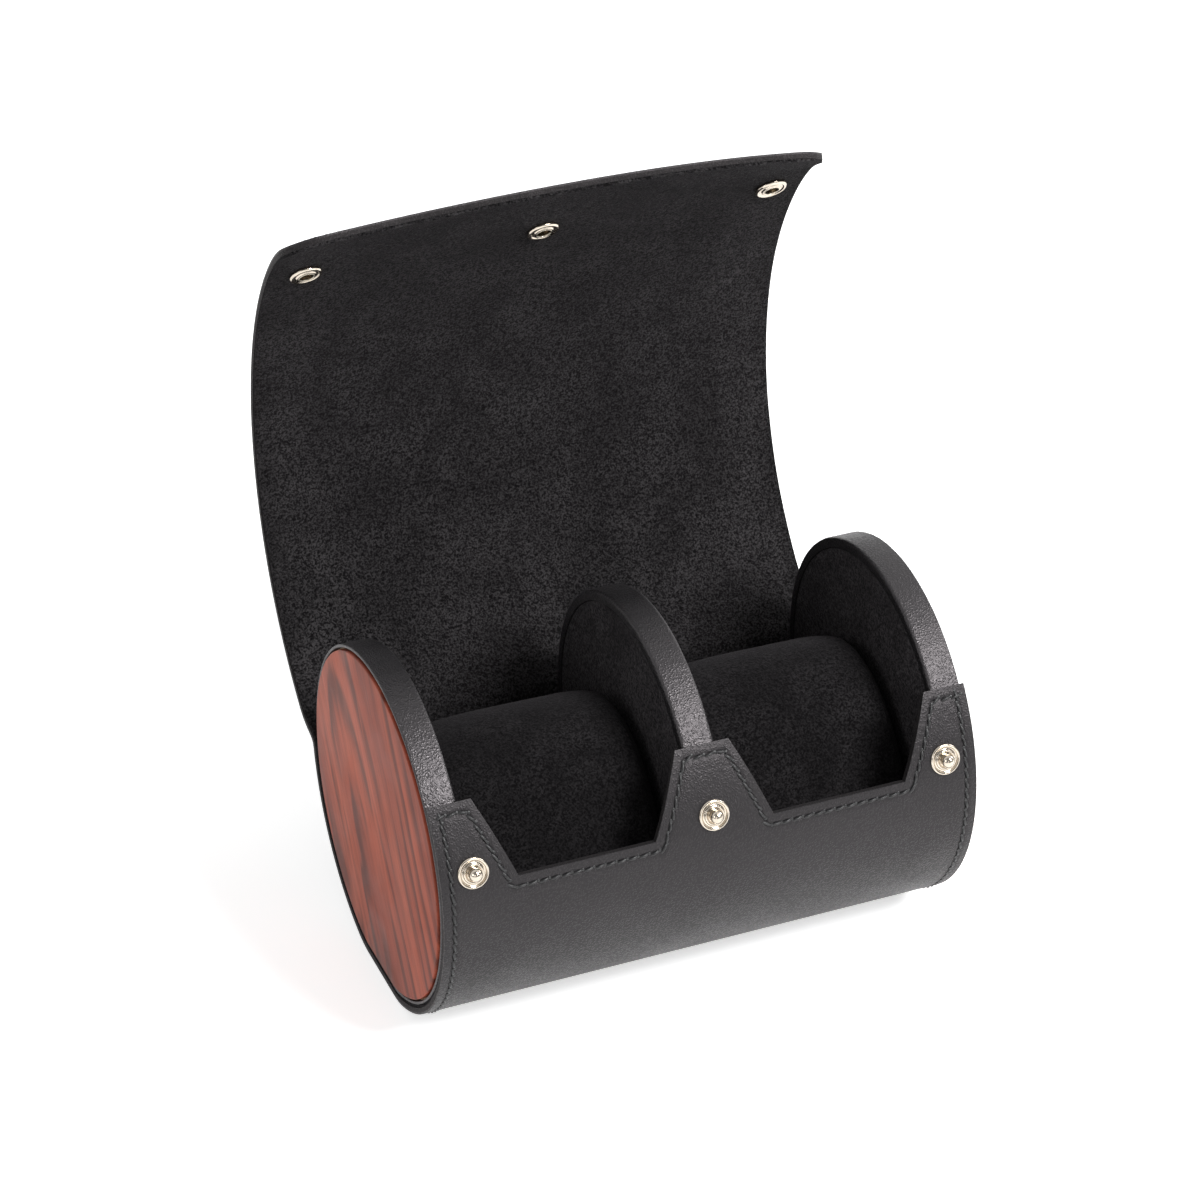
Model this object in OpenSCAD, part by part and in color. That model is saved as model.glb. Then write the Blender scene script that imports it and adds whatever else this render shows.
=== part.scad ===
// Roll-shaped travel case for two watches: a leather drum on three round discs,
// a low front panel with two scallops, and a long flap that curls over the top
// and closes on three snaps. Shown open, as it stands on its flattened base.
// X runs along the roll, the front is -Y, and Z = 0 is the surface it stands on.

/* [Body] */
// Length of the leather wrap along the roll
body_w = 149; // [120:1:190]
// Radius of the three discs
disc_r = 48; // [42:0.5:56]
// Depth by which the roll is flattened where it stands
base_flat = 1.6; // [1.2:0.1:2.4]
// How far the back of the wrap stands off the discs
spine_ease = 1.2; // [0.8:0.1:2]
// Angle of the flap's fold line above the back horizontal
hinge_angle = -4; // [-8:1:2]
// Thickness of the outer leather
leather_t = 1.1; // [0.8:0.1:1.6]
// Thickness of the stiffening board
board_t = 0.8; // [0.6:0.1:1.4]
// Thickness of the suede lining
lining_t = 0.7; // [0.5:0.1:1]

/* [Discs] */
// Thickness of an end disc with its wood inlay
end_disc_t = 9.2; // [7:0.1:13]
// Thickness of the divider in the middle
divider_t = 9; // [6:0.1:13]
// Thickness of the leather round the discs' rims
rim_t = 1; // [0.8:0.1:1.4]
// Width of the rim leather turned over a disc's face
lip_w = 3; // [2.5:0.5:8]
// Radius of the rim's rounded edge
rim_round = 1.6; // [1:0.1:2]
// Thickness of the suede on a disc's face
face_t = 0.8; // [0.5:0.1:1]
// Gap between the wood inlay and the leather round it
inlay_gap = 0.4; // [0.2:0.05:1.5]
// Thickness of the wood inlay
inlay_t = 2.2; // [1.2:0.1:3]
// How far the inlay stands out past the wrap's edge
inlay_proud = 0.5; // [0.2:0.1:1]
// Bevel round the inlay's face
inlay_bevel = 0.4; // [0.2:0.1:0.8]

/* [Front panel] */
// Angle of the tabs' tops above the front horizontal
tab_angle = 38; // [30:1:46]
// Angle of the scallops' bottoms above the front horizontal
scallop_angle = 12.8; // [4:0.2:18]
// Width of a scallop along its bottom
scallop_w = 37.4; // [28:0.2:44]
// How much a scallop widens on each side up to the tabs' tops
scallop_flare = 9; // [4:0.2:9.4]
// Radius in a scallop's bottom corners
scallop_round = 2; // [1:0.5:4]

/* [Flap] */
// Heading of the open flap where it leaves the fold, above the horizontal
flap_heading = 35; // [20:1:50]
// Angle through which the open flap curls from fold to free edge
flap_curl = 110; // [70:1:120]
// Number of stiff stretches that stand for the bending flap
flap_stretches = 6; // [5:1:7]
// Length of the last stretch, which carries the snaps
end_stretch = 35; // [30:0.5:45]
// How far the flap's sides stand out past the wrap on each side
flap_overhang = 1; // [0:0.1:2]
// Radius of the flap's free corners
flap_corner_r = 10.5; // [6:0.5:16]
// Width of the leather turned over the lining along the flap's edges
turned_edge = 1.8; // [1.2:0.1:3]
// Gap between two stretches at the lining
fold_gap = 0.3; // [0.2:0.05:0.4]

/* [Snaps] */
// Angle of the snaps above the front horizontal
snap_angle = 16.9; // [12:0.1:24]
// Distance of the outer snaps from the wrap's side edges
snap_inset = 8.8; // [7:0.1:14]
// Distance of the snaps from the flap's free edge
snap_edge = 25; // [10:0.5:30]
// Space between the panel and the lining where the snaps meet
snap_space = 2.4; // [2:0.1:3]
// Radius of a stud's flange
stud_flange_r = 4.2; // [4.1:0.1:5.5]
// Radius of a stud's ball
stud_ball_r = 1.8; // [1.4:0.1:2]
// Height of a stud over the leather
stud_h = 3.5; // [3.3:0.1:3.6]
// Radius of a stud's rivet
post_r = 1.2; // [0.8:0.1:1.3]
// Width of the rivet's head round its shank
post_head_w = 2.2; // [1.2:0.1:3]
// Thickness of the rivet's head
post_head_t = 0.35; // [0.25:0.05:0.5]
// Radius of a socket
socket_r = 4.4; // [4:0.1:5]
// Height of a socket over the lining
socket_h = 1.3; // [1.2:0.05:1.4]
// Radius of a snap's cap on the outside of the flap
cap_r = 5.2; // [4.5:0.1:6.5]
// Height of a cap's dome
cap_h = 1; // [0.8:0.1:1.6]
// Gap all round between a stud's ball and the cap's hollow shank
ball_clear = 0.25; // [0.2:0.05:0.35]

/* [Pillows] */
// Half the height of a pillow's oval section
pillow_a = 36; // [30:0.5:38]
// Half the depth of a pillow's oval section
pillow_b = 30; // [22:0.5:32]
// Angle by which a pillow leans back
pillow_lean = 40; // [20:1:50]
// Gap between a pillow and the lining and discs that hold it
pillow_gap = 0.3; // [0.2:0.05:0.6]
// Thickness of a pillow's suede cover
pillow_cover_t = 1.2; // [0.8:0.1:2]

/* [Hidden] */
$fn = 96;

// Roundness of small metal parts
SMALL_FN = 48;

// The wrap's layers, from the discs outwards
lining_r = disc_r + lining_t;
board_r = lining_r + board_t;
wrap_r = board_r + leather_t;
wrap_t = wrap_r - disc_r;

// Height of the discs' centres over the surface
axis_z = wrap_r - base_flat;

// The fold line, on the wrap's inner surface at the back
fold_y = spine_ease + disc_r * cos(hinge_angle);
fold_z = disc_r * sin(hinge_angle);
wrap_heading = hinge_angle + 90;
// Both faces at the fold lie along this line, which halves the open angle there
fold_face = (wrap_heading + flap_heading) / 2 - 90;

// The closed flap runs from the fold over the snaps to its free edge. It lies
// close to the discs most of the way and rises to the snaps' radius at its end,
// so its length is taken at a radius this share of the way between the two
snap_share = 0.4;
fold_r = norm([fold_y, fold_z]);
snap_r = wrap_r + snap_space;
flap_len = (180 - snap_angle - hinge_angle) * PI / 180 * (fold_r + snap_share * (snap_r - fold_r)) + snap_edge;

// The open flap is an arc: its radius, its centre and the angle where it starts
flap_r = flap_len / flap_curl * 180 / PI;
flap_y = fold_y - flap_r * sin(flap_heading);
flap_z = fold_z + flap_r * cos(flap_heading);
flap_start = flap_heading - 90;
flap_end = flap_start + flap_curl;
stretch_curl = (flap_curl - end_stretch / flap_r * 180 / PI) / (flap_stretches - 1);
flap_w = body_w + 2 * flap_overhang;
flap_t = wrap_t;

// Discs, seen from the divider outwards
end_face_x = body_w / 2 + inlay_proud;
end_in_x = end_face_x - end_disc_t;
rim_end_x = body_w / 2 - 0.3;
face_sink = 0.2;
core_r = disc_r - rim_t;
inlay_r = core_r - inlay_gap;

// Bays between the discs
bay_x = (end_in_x + divider_t / 2) / 2;
bay_w = end_in_x - divider_t / 2;

// Snaps
snap_x = body_w / 2 - snap_inset;
SNAP_XS = [-snap_x, 0, snap_x];
snap_flap_angle = flap_end - snap_edge / flap_r * 180 / PI;
post_fit = 0.05;
post_head_r = post_r + post_head_w;
shank_in_r = stud_ball_r + ball_clear;
shank_out_r = shank_in_r + 0.4;
shank_fit = 0.05;
socket_lip = 0.45;
spring_wire_r = 0.2;
stud_neck_r = stud_ball_r - 0.35;

// Reach of tools that cut right through
FAR = 400;

// A point at radius r and angle a
function polar(r, a) = [r * cos(a), r * sin(a)];

// How far a circle of radius r falls away from its tangent at distance d
function sag(r, d) = r - sqrt(r * r - d * d);

// Points of an arc that rounds the corner b between a and c
function rounded(a, b, c, r, steps = 6) =
  let (
    u = (a - b) / norm(a - b),
    v = (c - b) / norm(c - b),
    half = acos(u * v) / 2,
    middle = b + (u + v) / norm(u + v) * r / sin(half),
    from = b + u * r / tan(half) - middle,
    to = b + v * r / tan(half) - middle,
    start = atan2(from[1], from[0]),
    turn = atan2(to[1], to[0]) - start,
    sweep = turn > 180 ? turn - 360 : turn < -180 ? turn + 360 : turn
  )
  [for (i = [0:steps]) middle + polar(r, start + sweep * i / steps)];

// A section drawn as (Y, Z) about the discs' centres, extruded along the roll
module along_roll(length) {
  translate([0, 0, axis_z])
    rotate([90, 0, 90])
      linear_extrude(length, center = true)
        children();
}

// The children's Z points out of the front panel at an angle above horizontal
module on_front(angle, radius) {
  translate([0, 0, axis_z])
    rotate([90 - angle, 0, 0])
      translate([0, 0, radius])
        children();
}

// The children's Z points out of the open flap at a depth from its lining,
// their X along the roll and their Y from the free edge back to the fold
module on_flap(angle, depth) {
  translate([0, flap_y, axis_z + flap_z])
    rotate([angle - 90, 0, 0])
      translate([0, 0, flap_r + depth])
        children();
}

// --- The drum's layers ---

// Outline of the drum at a radius: round, eased at the back, flat underneath
module drum_outline(radius) {
  intersection() {
    union() {
      circle(radius);
      translate([spine_ease, 0]) circle(radius);
    }
    translate([-2 * radius, base_flat - radius]) square(4 * radius);
  }
}

// The part of the section that the wrap takes up, from the tabs' tops under
// the roll to the fold
module wrap_reach() {
  fold = [fold_y, fold_z] - polar(fold_gap / 2, fold_face + 90);
  polygon([
    [0, 0],
    polar(FAR, 180 - tab_angle),
    [-FAR, -FAR],
    [FAR, -FAR],
    fold + polar(FAR, fold_face),
    fold - polar(disc_r / 2, fold_face)
  ]);
}

module wrap_layer(inner_r, outer_r) {
  along_roll(body_w)
    intersection() {
      difference() {
        drum_outline(outer_r);
        drum_outline(inner_r);
      }
      wrap_reach();
    }
}

// The two scallops in the panel's upper edge, cut square to the panel
module scallops() {
  middle = (tab_angle + scallop_angle) / 2;
  rise = wrap_r * sin(tab_angle - middle);
  low = scallop_w / 2;
  high = low + 2 * scallop_flare;
  corner = [low, -rise];
  top = [high, 3 * rise];
  side = rounded(top, corner, [-low, -rise], scallop_round);
  outline = concat([top], side, [for (p = [len(side) - 1:-1:0]) [-side[p][0], side[p][1]]], [[-high, 3 * rise]]);
  for (side_x = [-bay_x, bay_x])
    translate([side_x, 0, 0])
      on_front(middle, 0)
        linear_extrude(FAR)
          polygon(outline);
}

// Holes for the studs' rivets
module post_holes() {
  for (x = SNAP_XS)
    translate([x, 0, 0])
      on_front(snap_angle, disc_r - wrap_t)
        cylinder(r = post_r + post_fit, h = 3 * wrap_t, $fn = SMALL_FN);
}

module body_leather() {
  color("#1d1c1d")
    difference() {
      wrap_layer(board_r, wrap_r);
      scallops();
      post_holes();
    }
}

module body_board() {
  color("#6b6256")
    difference() {
      wrap_layer(lining_r, board_r);
      scallops();
      post_holes();
    }
}

module body_lining() {
  color("#141415")
    difference() {
      wrap_layer(disc_r, lining_r);
      scallops();
      for (x = SNAP_XS)
        translate([x, 0, 0])
          on_front(snap_angle, post_seat_r - post_head_t - post_fit)
            cylinder(r = post_head_r + post_fit, h = wrap_t, $fn = SMALL_FN);
    }
}

// --- Discs ---

// A round plate about the discs' centre line from x0 to x1, its edges rounded
// at either end, and flattened underneath like the drum
module plate(x0, x1, radius, round0 = 0, round1 = 0) {
  intersection() {
    translate([0, 0, axis_z])
      rotate([0, 90, 0])
        rotate_extrude()
          difference() {
            translate([0, x0]) square([radius, x1 - x0]);
            if (round0 > 0)
              edge_cut(radius, x0, round0, 1);
            if (round1 > 0)
              edge_cut(radius, x1, round1, -1);
          }
    translate([-FAR, -FAR, axis_z - radius + base_flat])
      cube([2 * FAR, 2 * FAR, FAR]);
  }
}

// What rounding takes off the corner of a plate's half section
module edge_cut(radius, x, round, way) {
  translate([radius - round, x])
    scale([1, way])
      difference() {
        square(2 * round);
        translate([0, round]) circle(round);
        translate([-1, round]) square([round + 1, round + 1]);
      }
}

// The rim leather of an end disc: a band round the core, turned over its face
module end_rim() {
  difference() {
    plate(end_in_x, rim_end_x, disc_r, round0 = rim_round);
    plate(end_in_x + rim_t, FAR, core_r);
    plate(end_in_x - 1, end_in_x + 2 * rim_t, disc_r - lip_w);
  }
}

module end_core() {
  plate(end_in_x + rim_t, end_face_x - inlay_t, core_r);
}

module end_suede() {
  plate(end_in_x + rim_t - face_t, end_in_x + rim_t, disc_r - lip_w);
}

module wood_inlay() {
  intersection() {
    translate([0, 0, axis_z])
      rotate([0, 90, 0])
        rotate_extrude()
          polygon([
            [0, end_face_x - inlay_t],
            [inlay_r, end_face_x - inlay_t],
            [inlay_r, end_face_x - inlay_bevel],
            [inlay_r - inlay_bevel, end_face_x],
            [0, end_face_x]
          ]);
    translate([-FAR, -FAR, axis_z - inlay_r + base_flat])
      cube([2 * FAR, 2 * FAR, FAR]);
  }
}

module left_end_core() { color("#8a6f4f") mirror([1, 0, 0]) end_core(); }
module left_end_rim() { color("#222122") mirror([1, 0, 0]) end_rim(); }
module left_end_suede() { color("#18181a") mirror([1, 0, 0]) end_suede(); }
module left_wood_inlay() { color("#8c4a38") mirror([1, 0, 0]) wood_inlay(); }
module right_end_core() { color("#8a6f4f") end_core(); }
module right_end_rim() { color("#222122") end_rim(); }
module right_end_suede() { color("#18181a") end_suede(); }
module right_wood_inlay() { color("#8c4a38") wood_inlay(); }

module divider_core() {
  color("#8a6f4f")
    plate(rim_t - divider_t / 2, divider_t / 2 - rim_t, core_r);
}

module divider_rim() {
  color("#222122")
    difference() {
      plate(-divider_t / 2, divider_t / 2, disc_r, rim_round, rim_round);
      plate(rim_t - divider_t / 2, divider_t / 2 - rim_t, core_r);
      plate(-divider_t, divider_t, disc_r - lip_w);
    }
}

module divider_suede() {
  plate(divider_t / 2 - rim_t, divider_t / 2 - rim_t + face_t, disc_r - lip_w);
}

module divider_suede_left() { color("#18181a") mirror([1, 0, 0]) divider_suede(); }
module divider_suede_right() { color("#18181a") divider_suede(); }

// --- Flap ---

// Section of the flap's stretch number i between two depths from the lining,
// stopping short of the free edge by inset on the last one
module stretch_section(i, depth0, depth1, inset) {
  half_gap = fold_gap / 2 / flap_r * 180 / PI;
  first = i == 1;
  last = i == flap_stretches;
  a0 = flap_start + (i - 1) * stretch_curl + (first ? -stretch_curl : half_gap);
  a1 = last ? flap_end - inset / flap_r * 180 / PI : flap_start + i * stretch_curl - half_gap;
  fold = [fold_y, fold_z] + polar(fold_gap / 2, fold_face + 90);
  intersection() {
    translate([flap_y, flap_z])
      intersection() {
        difference() {
          circle(flap_r + depth1);
          circle(flap_r + depth0);
        }
        polygon([[0, 0], polar(FAR, a0), polar(FAR, (a0 + a1) / 2), polar(FAR, a1)]);
      }
    if (first)
      polygon([
        fold - polar(FAR, fold_face),
        fold + polar(FAR, fold_face),
        fold + polar(FAR, fold_face) + polar(FAR, fold_face + 90),
        fold - polar(FAR, fold_face) + polar(FAR, fold_face + 90)
      ]);
  }
}

// Plan of the flap's end with its two round corners, measured from the edge
module rounded_end(width, corner) {
  translate([-width / 2, corner]) square([width, FAR]);
  translate([corner - width / 2, 0]) square([width - 2 * corner, corner + 1]);
  for (side = [-1, 1])
    translate([side * (width / 2 - corner), corner]) circle(corner);
}

module stretch(i, depth0, depth1, inset) {
  width = flap_w - 2 * inset;
  if (i < flap_stretches)
    along_roll(width) stretch_section(i, depth0, depth1, inset);
  else
    intersection() {
      along_roll(width) stretch_section(i, depth0, depth1, inset);
      on_flap(flap_end, -4 * flap_t)
        linear_extrude(6 * flap_t)
          translate([0, inset])
            rounded_end(width, flap_corner_r - inset);
    }
}

// Holes for the shanks of the snaps' caps
module shank_holes() {
  for (x = SNAP_XS)
    translate([x, 0, 0])
      on_flap(snap_flap_angle, -flap_t)
        cylinder(r = shank_out_r + shank_fit, h = 3 * flap_t, $fn = SMALL_FN);
}

module flap_leather(i) {
  color("#1d1c1d")
    difference() {
      stretch(i, 0, flap_t, 0);
      stretch_pocket(i);
      if (i == flap_stretches)
        shank_holes();
    }
}

// Room inside the turned leather for the board and the lining
module stretch_pocket(i) {
  width = flap_w - 2 * turned_edge;
  last = i == flap_stretches;
  intersection() {
    along_roll(width)
      translate([flap_y, flap_z])
        difference() {
          circle(flap_r + lining_t + board_t);
          circle(flap_r / 2);
          if (last)
            polygon([[0, 0], polar(FAR, pocket_end), polar(FAR, pocket_end + 80), polar(FAR, pocket_end + 170)]);
        }
    if (last)
      on_flap(flap_end, -4 * flap_t)
        linear_extrude(6 * flap_t)
          translate([0, turned_edge])
            rounded_end(width, flap_corner_r - turned_edge);
  }
}
pocket_end = flap_end - turned_edge / flap_r * 180 / PI;

module flap_board(i) {
  color("#6b6256")
    difference() {
      stretch(i, lining_t, lining_t + board_t, turned_edge);
      if (i == flap_stretches)
        shank_holes();
    }
}

module flap_lining(i) {
  color("#141415")
    difference() {
      stretch(i, 0, lining_t, turned_edge);
      if (i == flap_stretches)
        shank_holes();
    }
}

// --- Snaps ---

// The rivets' heads lie just clear of the curved board
post_seat_r = lining_r - sag(lining_r, post_head_r) - post_fit;

// Half section of a stud over the leather: a rimmed flange, a raised ring, a
// neck and a ball with a small nub
module stud_profile() {
  rim_h = 0.5;
  groove_h = 0.28;
  ring_h = 0.6;
  ball_z = stud_h - 0.2 - stud_ball_r * 0.92;
  polygon([
    [0, 0],
    [stud_flange_r, 0],
    [stud_flange_r, rim_h / 2],
    [stud_flange_r - 0.25, rim_h],
    [stud_flange_r - 0.7, rim_h],
    [stud_flange_r - 0.95, groove_h],
    [stud_flange_r - 1.35, groove_h],
    [stud_flange_r - 1.6, ring_h],
    [stud_flange_r - 2.05, ring_h],
    [stud_neck_r + 0.6, groove_h],
    [stud_neck_r, groove_h + 0.2],
    [stud_neck_r, ball_z],
    [0, ball_z]
  ]);
  intersection() {
    translate([0, ball_z]) circle(stud_ball_r, $fn = SMALL_FN);
    translate([0, ball_z - stud_ball_r * 0.6]) square([stud_ball_r, stud_ball_r * 1.52]);
  }
  square([0.55, stud_h]);
}

module snap_studs() {
  color("#d8d4cc")
    for (x = SNAP_XS)
      translate([x, 0, 0])
        on_front(snap_angle, wrap_r)
          difference() {
            rotate_extrude($fn = SMALL_FN) stud_profile();
            translate([0, 0, -1]) cylinder(r = post_r + post_fit, h = 2, $fn = SMALL_FN);
          }
}

module snap_posts() {
  color("#c9c5bd")
    for (x = SNAP_XS)
      translate([x, 0, 0])
        on_front(snap_angle, post_seat_r - post_head_t) {
          cylinder(r = post_head_r, h = post_head_t, $fn = SMALL_FN);
          cylinder(r = post_r, h = wrap_r + 0.9 - post_seat_r + post_head_t, $fn = SMALL_FN);
        }
}

// The sockets stand on the curved lining, clear of its rise round them
socket_seat = sag(flap_r, socket_r) + post_fit;

module snap_sockets() {
  color("#d8d4cc")
    for (x = SNAP_XS)
      translate([x, 0, 0])
        on_flap(snap_flap_angle, -socket_seat)
          mirror([0, 0, 1])
            rotate_extrude($fn = SMALL_FN)
              difference() {
                polygon([
                  [shank_out_r + shank_fit, 0],
                  [socket_r, 0],
                  [socket_r, socket_h * 0.45],
                  [socket_r - 0.45, socket_h * 0.8],
                  [socket_r - 1.2, socket_h],
                  [shank_in_r, socket_h],
                  [shank_in_r, socket_h - socket_lip],
                  [shank_out_r + shank_fit, socket_h - socket_lip]
                ]);
                translate([spring_r, spring_z - socket_seat]) circle(spring_wire_r + 0.05, $fn = 24);
              }
}
// The sprung wire ring lies in a groove under the socket's lip
spring_r = shank_in_r + spring_wire_r * 0.2;
spring_z = socket_seat + socket_h - socket_lip / 2;

module snap_springs() {
  color("#b8a98a")
    for (x = SNAP_XS)
      translate([x, 0, 0])
        on_flap(snap_flap_angle, -spring_z)
          rotate_extrude($fn = SMALL_FN)
            translate([spring_r, 0]) circle(spring_wire_r, $fn = 16);
}

module snap_caps() {
  shank_h = flap_t + socket_seat + socket_h - socket_lip - 0.05;
  color("#d8d4cc")
    for (x = SNAP_XS)
      translate([x, 0, 0])
        on_flap(snap_flap_angle, flap_t)
          rotate_extrude($fn = SMALL_FN) {
            polygon([
              [0, 0],
              [cap_r, 0],
              [cap_r, cap_h * 0.3],
              [cap_r * 0.93, cap_h * 0.55],
              [cap_r * 0.79, cap_h * 0.78],
              [cap_r * 0.56, cap_h * 0.94],
              [cap_r * 0.27, cap_h],
              [0, cap_h]
            ]);
            translate([shank_in_r, -shank_h]) square([shank_out_r - shank_in_r, shank_h + 0.1]);
          }
}

// --- Pillows ---

// Stations along half a pillow: distance from the end as a share of its half
// length, and the section's share of its full size there. The sides draw in
// to the seam, the ends are crowned and the middle swells.
PILLOW_STATIONS = [[0, 0.34], [0.018, 0.62], [0.05, 0.84], [0.1, 0.935], [0.17, 0.965], [0.4, 0.99], [1, 1]];
PILLOW_SEAM = 0.1;
PILLOW_SIDES = 36;
PILLOW_SQUARENESS = 2.3;

// A point of the pillow's oval section, of unit size
function oval(a) =
  let (
    c = cos(a),
    s = sin(a),
    p = 2 / PILLOW_SQUARENESS
  )
  [sign(c) * pow(abs(c), p), sign(s) * pow(abs(s), p)];

// A point of the section, its long way leaned back, with its low end resting
// on the lining
function leaned(p) =
  let (up = p[0] - pillow_sink)
  [
    up * sin(pillow_lean) - p[1] * cos(pillow_lean),
    up * cos(pillow_lean) + p[1] * sin(pillow_lean)
  ];
pillow_sink = disc_r - pillow_gap - pillow_a;

// The closed, crowned form, drawn in by shrink all over
module pillow_form(shrink) {
  half = bay_w / 2 - pillow_gap - shrink;
  a = pillow_a - shrink;
  b = pillow_b - shrink;
  count = len(PILLOW_STATIONS);
  rows = concat(
    [for (s = PILLOW_STATIONS) [-half * (1 - s[0]), s[1]]],
    [for (i = [count - 2:-1:0]) [half * (1 - PILLOW_STATIONS[i][0]), PILLOW_STATIONS[i][1]]]
  );
  points = [
    for (row = rows)
      for (k = [0:PILLOW_SIDES - 1])
        let (
          unit = oval(360 * k / PILLOW_SIDES),
          p = leaned([unit[0] * a * row[1], unit[1] * b * row[1]])
        )
        [row[0], p[0], p[1] + axis_z]
  ];
  last = len(rows) - 1;
  sides = [
    for (j = [0:last - 1])
      for (k = [0:PILLOW_SIDES - 1])
        let (
          next = (k + 1) % PILLOW_SIDES,
          p = j * PILLOW_SIDES + k,
          q = j * PILLOW_SIDES + next
        )
        [[p, p + PILLOW_SIDES, q + PILLOW_SIDES], [p, q + PILLOW_SIDES, q]]
  ];
  polyhedron(points, concat(
    [for (pair = sides) pair[0]],
    [for (pair = sides) pair[1]],
    [[for (k = [0:PILLOW_SIDES - 1]) k]],
    [[for (k = [PILLOW_SIDES - 1:-1:0]) last * PILLOW_SIDES + k]]
  ));
}

// The stretch of a pillow between its two end seams
module between_seams() {
  seam = (bay_w / 2 - pillow_gap) * (1 - PILLOW_SEAM);
  translate([-seam, -FAR, -FAR]) cube([2 * seam, 2 * FAR, 2 * FAR]);
}

module pillow_foam() {
  color("#cfc9bd") pillow_form(pillow_cover_t);
}

module pillow_band() {
  color("#151516")
    intersection() {
      difference() {
        pillow_form(0);
        pillow_form(pillow_cover_t);
      }
      between_seams();
    }
}

module pillow_ends() {
  color("#151516")
    difference() {
      pillow_form(0);
      pillow_form(pillow_cover_t);
      between_seams();
    }
}

module in_left_bay() { translate([-bay_x, 0, 0]) children(); }
module in_right_bay() { translate([bay_x, 0, 0]) children(); }

body_leather();
body_board();
body_lining();
left_end_core();
left_end_rim();
left_end_suede();
left_wood_inlay();
right_end_core();
right_end_rim();
right_end_suede();
right_wood_inlay();
divider_core();
divider_rim();
divider_suede_left();
divider_suede_right();
snap_studs();
snap_posts();
snap_sockets();
snap_springs();
snap_caps();
in_left_bay() pillow_foam();  // left_pillow_foam
in_left_bay() pillow_band();  // left_pillow_band
in_left_bay() pillow_ends();  // left_pillow_ends
in_right_bay() pillow_foam();  // right_pillow_foam
in_right_bay() pillow_band();  // right_pillow_band
in_right_bay() pillow_ends();  // right_pillow_ends
for (i = [1:flap_stretches]) {
  flap_leather(i);
  flap_board(i);
  flap_lining(i);
}
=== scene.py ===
"""Roll-shaped leather travel case with round wood-faced ends, dressed over its fixed frame.

The sheet that wraps the discs and runs on as the flap is one long form, cut where its stretches bend.
Sizes are in millimetres until a mesh is made. X runs along the roll and the front is -Y.
"""

import logging
import math
from collections.abc import Callable, Sequence
from dataclasses import dataclass, field
from enum import Enum

import bmesh
import bpy
import numpy as np
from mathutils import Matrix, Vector, noise


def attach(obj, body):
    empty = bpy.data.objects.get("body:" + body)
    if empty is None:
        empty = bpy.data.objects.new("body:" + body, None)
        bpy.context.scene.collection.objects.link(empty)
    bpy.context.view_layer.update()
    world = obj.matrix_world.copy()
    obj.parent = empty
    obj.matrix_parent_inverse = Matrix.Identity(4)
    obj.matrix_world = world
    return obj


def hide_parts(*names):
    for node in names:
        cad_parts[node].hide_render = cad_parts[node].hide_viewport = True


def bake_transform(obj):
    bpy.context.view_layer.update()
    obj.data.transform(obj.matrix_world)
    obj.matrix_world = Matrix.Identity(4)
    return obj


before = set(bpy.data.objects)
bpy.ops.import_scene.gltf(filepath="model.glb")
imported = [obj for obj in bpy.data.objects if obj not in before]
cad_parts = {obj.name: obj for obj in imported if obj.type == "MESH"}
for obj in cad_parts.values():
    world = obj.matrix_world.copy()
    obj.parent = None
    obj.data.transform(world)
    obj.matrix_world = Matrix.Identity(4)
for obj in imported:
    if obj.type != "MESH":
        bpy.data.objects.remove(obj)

MM = 0.001
LAY = "lay"
TINY = 1e-6
Colour = tuple[float, float, float, float]
Profile = list[tuple[float, float]]
Place = Callable[[np.ndarray], np.ndarray]
log = logging.getLogger("travel_case")


# ---------------------------------------------------------------- sizes


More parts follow.
